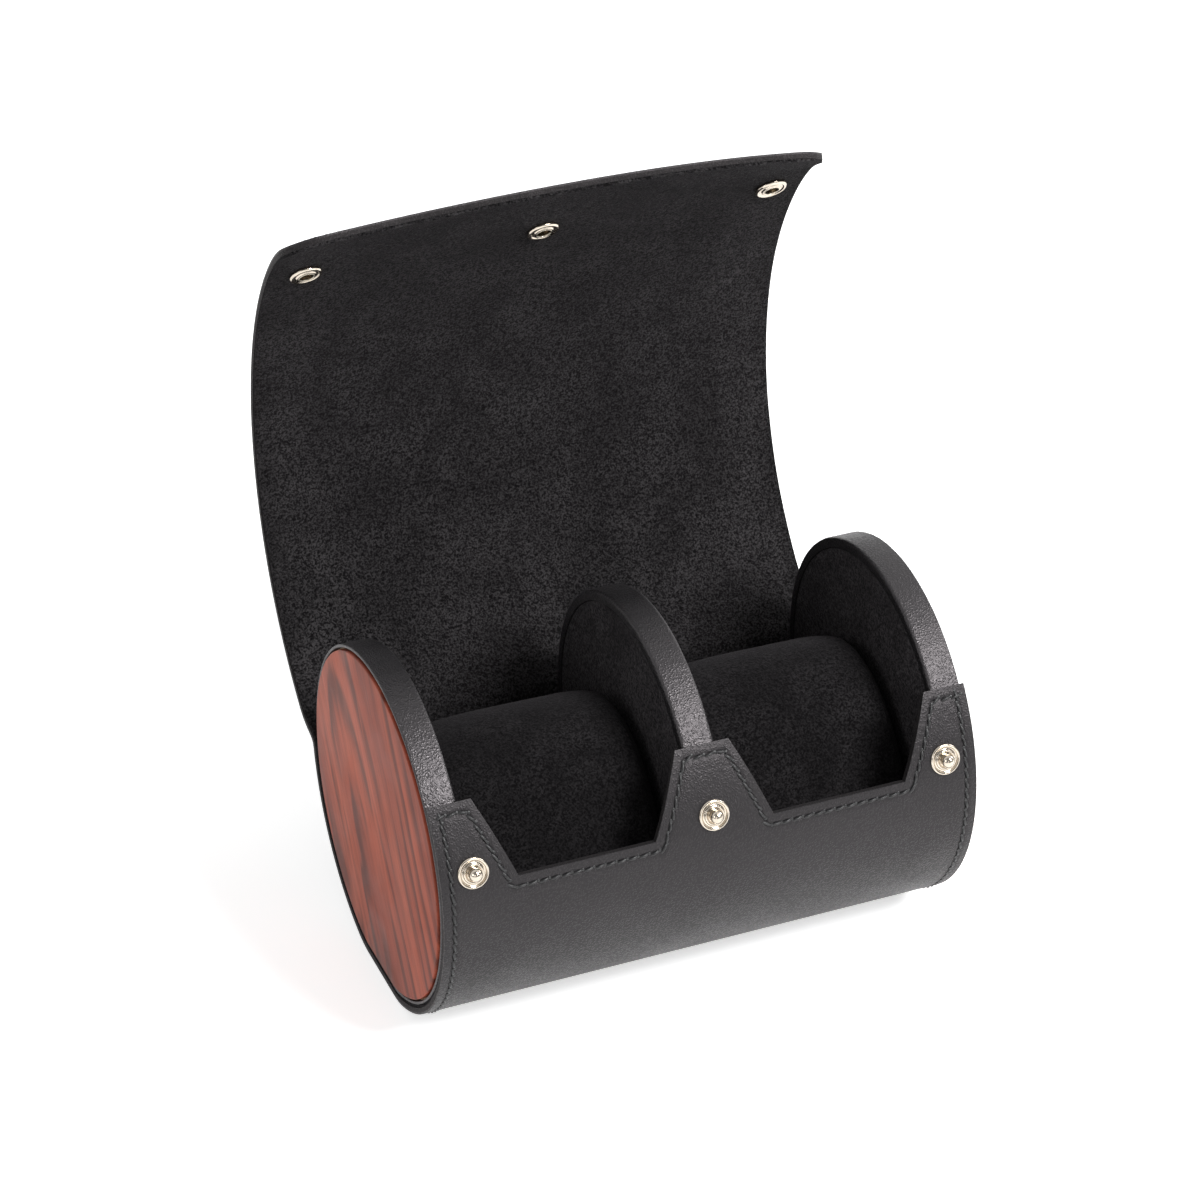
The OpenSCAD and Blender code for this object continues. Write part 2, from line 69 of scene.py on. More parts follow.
@dataclass(frozen=True)
class CaseSizes:
    """The case's sizes in millimetres and degrees, the same as its frame's."""

    body_w: float = 149.0
    disc_r: float = 48.0
    base_flat: float = 1.6
    spine_ease: float = 1.2
    hinge_angle: float = -4.0
    wrap_t: float = 2.6
    tab_angle: float = 38.0
    scallop_angle: float = 12.8
    scallop_w: float = 37.4
    scallop_flare: float = 9.0
    flap_heading: float = 35.0
    flap_curl: float = 110.0
    stretches: int = 6
    end_stretch: float = 35.0
    overhang: float = 1.0
    corner_r: float = 10.5
    snap_angle: float = 16.9
    snap_inset: float = 8.8
    snap_edge: float = 25.0
    shank_hole_r: float = 2.45
    snap_space: float = 2.4
    snap_share: float = 0.4
    end_disc_t: float = 9.2
    divider_t: float = 9.0
    inlay_proud: float = 0.5
    lip_w: float = 3.0
    inlay_r: float = 46.6
    pillow_a: float = 36.0
    pillow_b: float = 30.0
    pillow_lean: float = 40.0
    pillow_gap: float = 0.3

    @property
    def wrap_r(self) -> float:
        """Outer radius of the wrap."""
        return self.disc_r + self.wrap_t

    @property
    def axis_z(self) -> float:
        """Height of the discs' centres."""
        return self.wrap_r - self.base_flat

    @property
    def end_face_x(self) -> float:
        """Where the wood inlay's face lies."""
        return self.body_w / 2 + self.inlay_proud

    @property
    def end_in_x(self) -> float:
        """Where an end disc's face in the bay lies."""
        return self.end_face_x - self.end_disc_t

    @property
    def bay_x(self) -> float:
        """Middle of a bay."""
        return (self.end_in_x + self.divider_t / 2) / 2

    @property
    def bay_w(self) -> float:
        """Width of a bay."""
        return self.end_in_x - self.divider_t / 2

    @property
    def fold(self) -> tuple[float, float]:
        """The fold line as (y, z) about the discs' centres."""
        a = math.radians(self.hinge_angle)
        return self.spine_ease + self.disc_r * math.cos(a), self.disc_r * math.sin(a)

    @property
    def flap_len(self) -> float:
        """Length of the flap at its lining, from the fold to the free edge.

        Returns:
            The length in millimetres.
        """
        fold_r = math.hypot(*self.fold)
        radius = fold_r + self.snap_share * (self.wrap_r + self.snap_space - fold_r)
        return math.radians(180 - self.snap_angle - self.hinge_angle) * radius + self.snap_edge

    @property
    def flap_r(self) -> float:
        """Radius of the open flap's lining."""
        return self.flap_len / math.radians(self.flap_curl)

    @property
    def stretch_ends(self) -> list[float]:
        """How far along the flap each stretch begins, and where the last one ends.

        Returns:
            The places, in degrees of the flap's curl.
        """
        last = math.degrees(self.end_stretch / self.flap_r)
        step = (self.flap_curl - last) / (self.stretches - 1)
        return [step * k for k in range(self.stretches)] + [self.flap_curl]

    @property
    def snap_xs(self) -> tuple[float, float, float]:
        """Where the snaps stand along the roll."""
        x = self.body_w / 2 - self.snap_inset
        return -x, 0.0, x


SIZES = CaseSizes()


class Body(str, Enum):
    """The frame's rigid bodies that pieces ride on."""

    CASE = "case"
    LAST_STRETCH = "flap_6"
    LEFT_PILLOW = "left_pillow"
    RIGHT_PILLOW = "right_pillow"


class Lay(Enum):
    """Which coordinates a finish follows."""

    OBJECT = "object"
    SURFACE = "surface"


# ---------------------------------------------------------------- shader helpers


class NodeSheet:
    """A thin hand on a node tree, for adding nodes and links in a few words."""

    def __init__(self, tree: bpy.types.NodeTree) -> None:
        """Keeps the tree that the nodes go into."""
        self.tree = tree

    def add(self, kind: str, inputs: dict | None = None, **settings: object) -> bpy.types.Node:
        """Adds a node, sets its properties and its inputs.

        Args:
            kind: The node's type name.
            inputs: Values or source sockets by input name or index.
            settings: Properties of the node.

        Returns:
            The new node.
        """
        node = self.tree.nodes.new(kind)
        for name, value in settings.items():
            setattr(node, name, value)
        self.feed(node, inputs or {})
        return node

    def feed(self, node: bpy.types.Node, inputs: dict) -> None:
        """Sets a node's inputs.

        Args:
            node: The node.
            inputs: Values or source sockets by input name or index.
        """
        for key, value in inputs.items():
            if isinstance(value, bpy.types.NodeSocket):
                self.tree.links.new(value, node.inputs[key])
            else:
                node.inputs[key].default_value = value

    def math(self, operation: str, a: object, b: object = 0.0, clamp: bool = False) -> bpy.types.NodeSocket:
        """Adds a Math node.

        Args:
            operation: The operation's name.
            a: First value or socket.
            b: Second value or socket.
            clamp: Whether the result stays between 0 and 1.

        Returns:
            The result's socket.
        """
        return self.add("ShaderNodeMath", {0: a, 1: b}, operation=operation, use_clamp=clamp).outputs[0]

    def ramp(self, source: bpy.types.NodeSocket, low: float, high: float,
             to_low: float = 0.0, to_high: float = 1.0) -> bpy.types.NodeSocket:
        """Maps a value from one range to another, smoothly and clamped.

        Args:
            source: The value.
            low: Where the first range starts.
            high: Where it ends.
            to_low: What the start becomes.
            to_high: What the end becomes.

        Returns:
            The mapped value's socket.
        """
        node = self.add("ShaderNodeMapRange", {0: source, 1: low, 2: high, 3: to_low, 4: to_high},
                        interpolation_type="SMOOTHSTEP")
        return node.outputs[0]

    def mix(self, factor: object, a: object, b: object) -> bpy.types.NodeSocket:
        """Mixes two colours.

        Args:
            factor: Share of the second.
            a: First colour or socket.
            b: Second colour or socket.

        Returns:
            The mixed colour's socket.
        """
        return self.add("ShaderNodeMix", {0: factor, 6: a, 7: b}, data_type="RGBA").outputs[2]

    def noise(self, vector: bpy.types.NodeSocket, scale: object, detail: float = 3.0,
              roughness: float = 0.55, distortion: float = 0.0) -> bpy.types.NodeSocket:
        """Adds a noise texture.

        Args:
            vector: Where it is read.
            scale: Its scale, per metre, or the scale's socket.
            detail: Octaves.
            roughness: Weight of the fine octaves.
            distortion: How much it is warped.

        Returns:
            The noise value's socket.
        """
        return self.add("ShaderNodeTexNoise", {"Vector": vector, "Scale": scale, "Detail": detail,
                                               "Roughness": roughness, "Distortion": distortion}).outputs[0]

    def relief(self, shader: bpy.types.Node, height: bpy.types.NodeSocket, strength: float,
               distance: float) -> None:
        """Gives a shader a bumped normal.

        Args:
            shader: The shader.
            height: The height's socket.
            strength: How strongly it shows.
            distance: Its depth in metres.
        """
        bump = self.add("ShaderNodeBump", {"Height": height, "Strength": strength, "Distance": distance})
        self.feed(shader, {"Normal": bump.outputs[0]})

    def seen(self) -> tuple[bpy.types.NodeSocket, bpy.types.NodeSocket]:
        """Tells which rays see a surface, as the camera, a reflection or clear stuff does.

        Returns:
            The camera rays' socket, and the socket of all three kinds.
        """
        rays = self.add("ShaderNodeLightPath").outputs
        shown = self.math("MAXIMUM", rays["Is Camera Ray"], rays["Is Glossy Ray"])
        return rays["Is Camera Ray"], self.math("MAXIMUM", shown, rays["Is Transmission Ray"])


def new_group(name: str, inputs: Sequence[tuple[str, str, object]],
              outputs: Sequence[tuple[str, str]]) -> tuple[NodeSheet, bpy.types.Node, bpy.types.Node]:
    """Starts a shader node group.

    Args:
        name: The group's name.
        inputs: Name, socket type and default of each input.
        outputs: Name and socket type of each output.

    Returns:
        The sheet, the group's input node and its output node.
    """
    tree = bpy.data.node_groups.new(name, "ShaderNodeTree")
    for label, kind, default in inputs:
        socket = tree.interface.new_socket(name=label, in_out="INPUT", socket_type=kind)
        if default is not None:
            socket.default_value = default
    for label, kind in outputs:
        tree.interface.new_socket(name=label, in_out="OUTPUT", socket_type=kind)
    sheet = NodeSheet(tree)
    return sheet, sheet.add("NodeGroupInput"), sheet.add("NodeGroupOutput")


class FinishGroups:
    """The shader groups that several finishes share; their scales are per metre."""

    WARP_SCALE = 700.0
    WARP_REACH = 0.0009
    PEBBLE_SOFTNESS = 0.35
    PEBBLE_SHARE = 0.85
    SOFT_SCALE = 900.0
    SOFT_SHARE = 0.08
    CREASE_SCALE = 180.0
    TUFT_SCALE = 1050.0
    FIBRE_HEIGHT = 0.55
    TUFT_HEIGHT = 0.75
    SPECKLE_SHARE = 0.50

    def __init__(self) -> None:
        """Builds each group once."""
        self.grain = self._leather_grain()
        self.nap = self._suede_nap()
        self.scuff = self._soft_mottle()

    def _leather_grain(self) -> bpy.types.NodeTree:
        """Builds the fine pebbled grain of smooth leather.

        Returns:
            A group from a vector to a height and a mask of the pores.
        """
        s, i, o = new_group("Leather grain", [("Vector", "NodeSocketVector", None),
                                              ("Scale", "NodeSocketFloat", 1500.0),
                                              ("Crease", "NodeSocketFloat", 0.5)],
                            [("Height", "NodeSocketFloat"), ("Pores", "NodeSocketFloat")])
        warp = s.add("ShaderNodeTexNoise", {"Vector": i.outputs["Vector"], "Scale": self.WARP_SCALE,
                                            "Detail": 2.0})
        moved = s.add("ShaderNodeVectorMath", {0: warp.outputs[1], 1: (0.5, 0.5, 0.5)}, operation="SUBTRACT")
        small = s.add("ShaderNodeVectorMath", {0: moved.outputs[0], "Scale": self.WARP_REACH},
                      operation="SCALE")
        place = s.add("ShaderNodeVectorMath", {0: i.outputs["Vector"], 1: small.outputs[0]}, operation="ADD")
        cells = s.add("ShaderNodeTexVoronoi", {"Vector": place.outputs[0], "Scale": i.outputs["Scale"],
                                               "Smoothness": self.PEBBLE_SOFTNESS, "Randomness": 1.0},
                      feature="SMOOTH_F1")
        pebbles = s.ramp(cells.outputs["Distance"], 0.0, 0.75, 1.0, 0.0)
        soft = s.noise(i.outputs["Vector"], self.SOFT_SCALE, 4.0)
        lines = s.ramp(s.noise(i.outputs["Vector"], self.CREASE_SCALE, 5.0, 0.6, 0.7), 0.40, 0.56)
        creased = s.math("MULTIPLY", lines, i.outputs["Crease"])
        body = s.math("ADD", s.math("MULTIPLY", pebbles, self.PEBBLE_SHARE),
                      s.math("MULTIPLY", soft, self.SOFT_SHARE))
        s.feed(o, {"Height": s.math("ADD", body, creased), "Pores": s.ramp(pebbles, 0.15, 0.6, 1.0, 0.0)})
        return s.tree

    def _suede_nap(self) -> bpy.types.NodeTree:
        """Builds the short brushed nap of microsuede.

        Returns:
            A group from a vector to a height, a shade of the lie of the nap and its speckle.
        """
        s, i, o = new_group("Suede nap", [("Vector", "NodeSocketVector", None),
                                          ("Fibre", "NodeSocketFloat", 1400.0),
                                          ("Mottle", "NodeSocketFloat", 60.0)],
                            [("Height", "NodeSocketFloat"), ("Lie", "NodeSocketFloat"),
                             ("Speckle", "NodeSocketFloat")])
        fine = s.noise(i.outputs["Vector"], i.outputs["Fibre"], 2.0, 0.6)
        tuft = s.noise(i.outputs["Vector"], self.TUFT_SCALE, 4.0, 0.65, 0.9)
        broad = s.noise(i.outputs["Vector"], i.outputs["Mottle"], 4.0, 0.6, 0.5)
        height = s.math("ADD", s.math("MULTIPLY", fine, self.FIBRE_HEIGHT),
                        s.math("MULTIPLY", tuft, self.TUFT_HEIGHT))
        even = s.math("ADD", s.math("MULTIPLY", fine, self.SPECKLE_SHARE),
                      s.math("MULTIPLY", tuft, self.SPECKLE_SHARE))
        s.feed(o, {"Height": height, "Lie": s.ramp(broad, 0.36, 0.66), "Speckle": s.ramp(even, 0.40, 0.62)})
        return s.tree

    @staticmethod
    def _soft_mottle() -> bpy.types.NodeTree:
        """Builds the faint handling marks that every finish carries.

        Returns:
            A group from a vector to a mask.
        """
        s, i, o = new_group("Handling marks", [("Vector", "NodeSocketVector", None),
                                               ("Scale", "NodeSocketFloat", 40.0)],
                            [("Mask", "NodeSocketFloat")])
        blotch = s.noise(i.outputs["Vector"], i.outputs["Scale"], 5.0, 0.62, 0.4)
        s.feed(o, {"Mask": s.ramp(blotch, 0.35, 0.7)})
        return s.tree


GROUPS = FinishGroups()


def coordinates(sheet: NodeSheet, lay: Lay) -> bpy.types.NodeSocket:
    """Gives the vector that a finish reads its pattern at.

    Args:
        sheet: The material's nodes.
        lay: Whether the pattern follows the object or its surface.

    Returns:
        The vector's socket, in metres.
    """
    if lay is Lay.SURFACE:
        return sheet.add("ShaderNodeAttribute", attribute_name=LAY).outputs["Vector"]
    return sheet.add("ShaderNodeTexCoord").outputs["Object"]


def use_group(sheet: NodeSheet, tree: bpy.types.NodeTree, **inputs: object) -> bpy.types.Node:
    """Places a shared group.

    Args:
        sheet: The material's nodes.
        tree: The group.
        inputs: Its values or sources by name.

    Returns:
        The group's node.
    """
    return sheet.add("ShaderNodeGroup", inputs, node_tree=tree)


def start_material(name: str) -> tuple[bpy.types.Material, NodeSheet, bpy.types.Node]:
    """Starts a material with an empty tree and a Principled shader.

    Args:
        name: The material's name.

    Returns:
        The material, its sheet and the shader.
    """
    material = bpy.data.materials.new(name)
    material.use_nodes = True
    material.node_tree.nodes.clear()
    sheet = NodeSheet(material.node_tree)
    shader = sheet.add("ShaderNodeBsdfPrincipled")
    sheet.add("ShaderNodeOutputMaterial", {"Surface": shader.outputs[0]})
    return material, sheet, shader


# ---------------------------------------------------------------- finishes


@dataclass(frozen=True)
class Leather:
    """Smooth black leather with a fine grain."""

    name: str = "Black leather"
    colour: Colour = (0.0062, 0.0060, 0.0065, 1)
    light: Colour = (0.0095, 0.0092, 0.0098, 1)
    pore: Colour = (0.004, 0.004, 0.0045, 1)
    pore_share: float = 0.6
    roughness: float = 0.38
    marks_scale: float = 38.0
    marks_rough: float = 0.09
    pore_rough: float = 0.14
    grain: float = 1900.0
    crease: float = 0.04
    bump: float = 0.95
    bump_depth: float = 0.00010
    gloss: float = 0.42
    tint: Colour = (1.0, 0.93, 0.96, 1)
    edge_depth: float = 0.0
    edge_ease: float = 0.35
    edge_paint: Colour = (0.0025, 0.0022, 0.0022, 1)
    edge_rough: float = 0.28
    lay: Lay = Lay.SURFACE

    def build(self) -> bpy.types.Material:
        """Makes the material.

        Returns:
            The material.
        """
        material, s, shader = start_material(self.name)
        vector = coordinates(s, self.lay)
        grain = use_group(s, GROUPS.grain, Vector=vector, Scale=self.grain, Crease=self.crease)
        marks = use_group(s, GROUPS.scuff, Vector=vector, Scale=self.marks_scale)
        colour = s.mix(marks.outputs["Mask"], self.colour, self.light)
        colour = s.mix(s.math("MULTIPLY", grain.outputs["Pores"], self.pore_share), colour, self.pore)
        rough = s.math("ADD", s.math("MULTIPLY", marks.outputs["Mask"], self.marks_rough), self.roughness)
        rough = s.math("ADD", rough, s.math("MULTIPLY", grain.outputs["Pores"], self.pore_rough))
        if self.edge_depth:
            # The cut edges carry a duller black paint
            split = s.add("ShaderNodeSeparateXYZ", {0: vector})
            paint = s.ramp(split.outputs[2], self.edge_depth * MM, (self.edge_depth - self.edge_ease) * MM)
            colour = s.mix(paint, colour, self.edge_paint)
            rough = s.math("ADD", rough, s.math("MULTIPLY", paint, self.edge_rough), clamp=True)
        s.feed(shader, {"Base Color": colour, "Roughness": rough, "Specular IOR Level": self.gloss,
                        "Specular Tint": self.tint})
        s.relief(shader, grain.outputs["Height"], self.bump, self.bump_depth)
        return material


@dataclass(frozen=True)
class Suede:
    """Black microsuede with a brushed, mottled nap."""

    name: str = "Black microsuede"
    dark: Colour = (0.0020, 0.0018, 0.0020, 1)
    light: Colour = (0.0375, 0.0352, 0.0366, 1)
    mottle: float = 60.0
    fibre: float = 1750.0
    sheen: float = 0.06
    sheen_tint: Colour = (0.5, 0.47, 0.5, 1)
    bands: bool = False
    lay: Lay = Lay.SURFACE

    # How the bands' edges fade, in metres from the roll's middle
    SIDE_IN = (0.055, 0.061)
    SIDE_OUT = (0.074, 0.069)
    MIDDLE = (0.009, 0.003)
    SWAY = 0.010

    def build(self) -> bpy.types.Material:
        """Makes the material; with bands, it is lighter near the side edges and in the middle.

        Returns:
            The material.
        """
        material, s, shader = start_material(self.name)
        vector = coordinates(s, self.lay)
        nap = use_group(s, GROUPS.nap, Vector=vector, Fibre=self.fibre, Mottle=self.mottle)
        lie = nap.outputs["Lie"]
        if self.bands:
            split = s.add("ShaderNodeSeparateXYZ", {0: vector})
            sway = s.math("MULTIPLY", s.math("SUBTRACT", s.noise(vector, 30.0, 2.0), 0.5), self.SWAY)
            across = s.math("ABSOLUTE", s.math("ADD", split.outputs[0], sway))
            edge = s.math("MULTIPLY", s.ramp(across, *self.SIDE_IN), s.ramp(across, *self.SIDE_OUT))
            middle = s.ramp(across, *self.MIDDLE)
            band = s.math("ADD", s.math("MULTIPLY", edge, 0.34), s.math("MULTIPLY", middle, 0.16))
            lie = s.math("ADD", s.math("MULTIPLY", lie, 0.72), band, clamp=True)
        shade = s.math("MULTIPLY", nap.outputs["Speckle"], s.math("ADD", s.math("MULTIPLY", lie, 0.45), 0.55))
        s.feed(shader, {"Base Color": s.mix(shade, self.dark, self.light), "Roughness": 0.95,
                        "Specular IOR Level": 0.05, "Sheen Weight": self.sheen, "Sheen Roughness": 0.55,
                        "Sheen Tint": self.sheen_tint})
        s.relief(shader, nap.outputs["Height"], strength=0.9, distance=0.0005)
        return material


@dataclass(frozen=True)
class Rosewood:
    """Reddish-brown veneer with dark arched figure, under satin varnish."""

    name: str = "Rosewood veneer"
    pale: Colour = (0.46, 0.108, 0.058, 1)
    mid: Colour = (0.30, 0.066, 0.038, 1)
    dark: Colour = (0.075, 0.022, 0.016, 1)
    pore: Colour = (0.05, 0.016, 0.012, 1)
    lean: float = 28.6

    # In metres: the leaning figure's place, the arches' foot in it, and how far the rings wander
    PLACE = (0.0, 0.022, -0.0404)
    FOOT = (0.011, -0.062)
    DRIFT = 0.020
    WAVER = 0.010
    WAVE_SCALE = 46.0
    RINGS = 150.0
    TALL = 0.20

    def build(self) -> bpy.types.Material:
        """Makes the material; its arches run up the disc.

        Returns:
            The material.
        """
        material, s, shader = start_material(self.name)
        vector = coordinates(s, Lay.OBJECT)
        vector = s.add("ShaderNodeMapping", {0: vector, "Rotation": (math.radians(self.lean), 0.0, 0.0),
                                             "Location": self.PLACE}).outputs[0]
        split = s.add("ShaderNodeSeparateXYZ", {0: vector})
        y, z = split.outputs[1], split.outputs[2]
        # Growth rings cut nearly along the trunk, so they show as tall arches
        tall = s.add("ShaderNodeCombineXYZ", {0: y, 1: s.math("MULTIPLY", z, 0.28)})
        wave = s.noise(tall.outputs[0], self.WAVE_SCALE, 3.0, 0.5)
        drift = s.math("MULTIPLY", s.math("SUBTRACT", wave, 0.5), self.DRIFT)
        across = s.math("ADD", s.math("SUBTRACT", y, self.FOOT[0]), drift)
        along = s.math("MULTIPLY", s.math("SUBTRACT", z, self.FOOT[1]), self.TALL)
        reach = s.math("SQRT", s.math("ADD", s.math("MULTIPLY", across, across),
                                      s.math("MULTIPLY", along, along)))
        wavering = s.math("ADD", reach, s.math("MULTIPLY", wave, self.WAVER))
        rings = s.math("FRACT", s.math("MULTIPLY", wavering, self.RINGS))
        band = s.math("MULTIPLY", s.ramp(rings, 0.22, 0.72), s.ramp(rings, 1.0, 0.80))
        stretched = s.add("ShaderNodeMapping", {0: vector, "Scale": (1.0, 1.0, 0.045)})
        fibre = s.noise(stretched.outputs[0], 1300.0, 5.0, 0.65)
        broad = s.add("ShaderNodeMapping", {0: vector, "Scale": (1.0, 1.0, 0.14)})
        tone = s.noise(broad.outputs[0], 55.0, 3.0, 0.55)
        patch = s.noise(broad.outputs[0], 95.0, 2.0, 0.5, 0.8)
        weight = s.math("MULTIPLY", band, s.ramp(patch, 0.40, 0.60, 0.12, 0.95))
        weight = s.math("MAXIMUM", weight, s.math("MULTIPLY", s.ramp(tone, 0.60, 0.74), 0.75))
        # Painted shade: the veneer is mixed towards its mid tone low on the inlay, so it darkens towards the
        # bottom.
        low = s.ramp(z, 0.0, -0.035)
        base = s.mix(s.math("ADD", s.ramp(tone, 0.35, 0.65), s.math("MULTIPLY", low, 0.35), clamp=True),
                     self.pale, self.mid)
        figured = s.mix(s.math("MULTIPLY", weight, 0.80), base, self.dark)
        streaked = s.mix(s.math("MULTIPLY", s.ramp(fibre, 0.44, 0.66), 0.34), figured, self.dark)
        pores = s.ramp(s.noise(stretched.outputs[0], 3300.0, 2.0, 0.5), 0.60, 0.70)
        final = s.mix(s.math("MULTIPLY", pores, 0.35), streaked, self.pore)
        marks = use_group(s, GROUPS.scuff, Vector=vector, Scale=60.0)
        rough = s.math("ADD", s.math("MULTIPLY", marks.outputs["Mask"], 0.08), 0.38)
        s.feed(shader, {"Base Color": final, "Roughness": rough, "Specular IOR Level": 0.07})
        height = s.math("SUBTRACT", fibre, s.math("MULTIPLY", pores, 0.7))
        s.relief(shader, height, strength=0.10, distance=0.0001)
        return material


@dataclass(frozen=True)
class Metal:
    """Plated metal with fine turning marks."""

    name: str
    colour: Colour = (0.62, 0.555, 0.47, 1)
    worn: Colour = (0.50, 0.44, 0.36, 1)
    roughness: float = 0.18

    def build(self) -> bpy.types.Material:
        """Makes the material.

        Returns:
            The material.
        """
        material, s, shader = start_material(self.name)
        vector = coordinates(s, Lay.OBJECT)
        marks = use_group(s, GROUPS.scuff, Vector=vector, Scale=420.0)
        fine = s.noise(vector, 2600.0, 2.0, 0.5)
        colour = s.mix(s.math("MULTIPLY", marks.outputs["Mask"], 0.35), self.colour, self.worn)
        rough = s.math("ADD", s.math("MULTIPLY", marks.outputs["Mask"], 0.05), self.roughness)
        s.feed(shader, {"Base Color": colour, "Metallic": 1.0, "Roughness": rough})
        s.relief(shader, fine, strength=0.02, distance=0.00002)
        return material


@dataclass(frozen=True)
class Thread:
    """Waxed black thread, twisted."""

    name: str = "Black thread"
    colour: Colour = (0.004, 0.004, 0.0043, 1)
    light: Colour = (0.016, 0.016, 0.017, 1)

    def build(self) -> bpy.types.Material:
        """Makes the material.

        Returns:
            The material.
        """
        material, s, shader = start_material(self.name)
        vector = coordinates(s, Lay.OBJECT)
        strand = s.noise(vector, 4200.0, 2.0, 0.6)
        colour = s.mix(s.ramp(strand, 0.35, 0.65), self.colour, self.light)
        s.feed(shader, {"Base Color": colour, "Roughness": 0.42})
        s.relief(shader, strand, strength=0.5, distance=0.0001)
        return material


@dataclass(frozen=True)
class Plain:
    """A hidden material with two tones and its own texture."""

    name: str
    dark: Colour
    light: Colour
    scale: float = 900.0
    roughness: float = 0.85

    def build(self) -> bpy.types.Material:
        """Makes the material.

        Returns:
            The material.
        """
        material, s, shader = start_material(self.name)
        vector = coordinates(s, Lay.OBJECT)
        fleck = s.noise(vector, self.scale, 5.0, 0.65)
        colour = s.mix(s.ramp(fleck, 0.35, 0.65), self.dark, self.light)
        s.feed(shader, {"Base Color": colour, "Roughness": self.roughness})
        s.relief(shader, fleck, strength=0.4, distance=0.0002)
        return material


@dataclass
class Finishes:
    """Every finish of the case, built once."""

    wrap: bpy.types.Material = field(default_factory=lambda: Leather(
        edge_depth=CaseSizes.wrap_t - Leather.edge_ease).build())
    rim: bpy.types.Material = field(default_factory=lambda: Leather(
        name="Rim leather", roughness=0.30, grain=1800.0, bump=1.0, gloss=0.66).build())
    lining: bpy.types.Material = field(default_factory=lambda: Suede(
        name="Lining microsuede", bands=True).build())
    # Painted light: the disc faces' suede is a lighter copy of the lining's black microsuede.
    disc_suede: bpy.types.Material = field(default_factory=lambda: Suede(
        name="Disc microsuede", dark=(0.0060, 0.0054, 0.0058, 1), light=(0.062, 0.057, 0.060, 1),
        mottle=45.0).build())
    # Painted shade: the pillows' suede is a darker copy of the lining's black microsuede.
    pillow_suede: bpy.types.Material = field(default_factory=lambda: Suede(
        name="Pillow microsuede", light=(0.018, 0.0168, 0.0177, 1), mottle=75.0, lay=Lay.OBJECT).build())
    wood: bpy.types.Material = field(default_factory=lambda: Rosewood().build())
    nickel: bpy.types.Material = field(default_factory=lambda: Metal(name="Polished nickel").build())
    rivet: bpy.types.Material = field(default_factory=lambda: Metal(
        name="Plated rivet", colour=(0.62, 0.60, 0.57, 1), roughness=0.32).build())
    spring: bpy.types.Material = field(default_factory=lambda: Metal(
        name="Spring wire", colour=(0.66, 0.60, 0.50, 1), worn=(0.5, 0.44, 0.35, 1), roughness=0.26).build())
    thread: bpy.types.Material = field(default_factory=lambda: Thread().build())
    board: bpy.types.Material = field(default_factory=lambda: Plain(
        "Grey board", (0.24, 0.20, 0.16, 1), (0.38, 0.33, 0.27, 1)).build())
    core: bpy.types.Material = field(default_factory=lambda: Plain(
        "Fibreboard", (0.28, 0.19, 0.12, 1), (0.47, 0.34, 0.22, 1), 1600.0).build())
    foam: bpy.types.Material = field(default_factory=lambda: Plain(
        "Cream foam", (0.66, 0.62, 0.54, 1), (0.82, 0.79, 0.72, 1), 2400.0).build())


# ---------------------------------------------------------------- mesh helpers


def add_object(name: str, data: bpy.types.ID) -> bpy.types.Object:
    """Makes an object of its data and links it to the scene.

    Args:
        name: The object's name.
        data: Its mesh, light or camera.

    Returns:
        The object.
    """
    obj = bpy.data.objects.new(name, data)
    bpy.context.scene.collection.objects.link(obj)
    return obj


def mesh_object(name: str, points: np.ndarray, faces: Sequence[Sequence[int]],
                material: bpy.types.Material) -> bpy.types.Object:
    """Makes an object of a mesh given in millimetres.

    Args:
        name: The object's name.
        points: N by 3 points in millimetres.
        faces: Vertex indices of each face.
        material: Its finish.

    Returns:
        The object, at the origin, with its place in its mesh.
    """
    mesh = bpy.data.meshes.new(name)
    mesh.from_pydata((np.asarray(points, float) * MM).tolist(), [], [list(f) for f in faces])
    mesh.materials.append(material)
    mesh.polygons.foreach_set("use_smooth", [True] * len(mesh.polygons))
    mesh.validate()
    return add_object(name, mesh)


def mesh_points(obj: bpy.types.Object) -> np.ndarray:
    """Reads a mesh's points.

    Args:
        obj: The object.

    Returns:
        N by 3 points in millimetres.
    """
    co = np.empty(len(obj.data.vertices) * 3)
    obj.data.vertices.foreach_get("co", co)
    return co.reshape(-1, 3) / MM


def set_points(obj: bpy.types.Object, points: np.ndarray) -> None:
    """Writes a mesh's points.

    Args:
        obj: The object.
        points: N by 3 points in millimetres.
    """
    obj.data.vertices.foreach_set("co", (points * MM).ravel())
    obj.data.update()


def set_lay(obj: bpy.types.Object, lay: np.ndarray) -> None:
    """Stores where each point lies on the flat pattern, as the surface attribute.

    Args:
        obj: The object.
        lay: N by 3 places in millimetres.
    """
    attribute = obj.data.attributes.get(LAY) or obj.data.attributes.new(LAY, "FLOAT_VECTOR", "POINT")
    attribute.data.foreach_set("vector", (np.asarray(lay, float) * MM).ravel())


def bake_modifiers(obj: bpy.types.Object) -> None:
    """Turns an object's modifiers into its plain mesh.

    Args:
        obj: The object.
    """
    bpy.context.view_layer.update()
    depsgraph = bpy.context.evaluated_depsgraph_get()
    mesh = bpy.data.meshes.new_from_object(obj.evaluated_get(depsgraph), depsgraph=depsgraph)
    obj.modifiers.clear()
    old = obj.data
    obj.data = mesh
    bpy.data.meshes.remove(old)


def recalculate(obj: bpy.types.Object) -> None:
    """Turns a mesh's faces outwards.

    Args:
        obj: The object.
    """
    bm = bmesh.new()
    bm.from_mesh(obj.data)
    bmesh.ops.recalc_face_normals(bm, faces=bm.faces)
    bm.to_mesh(obj.data)
    bm.free()


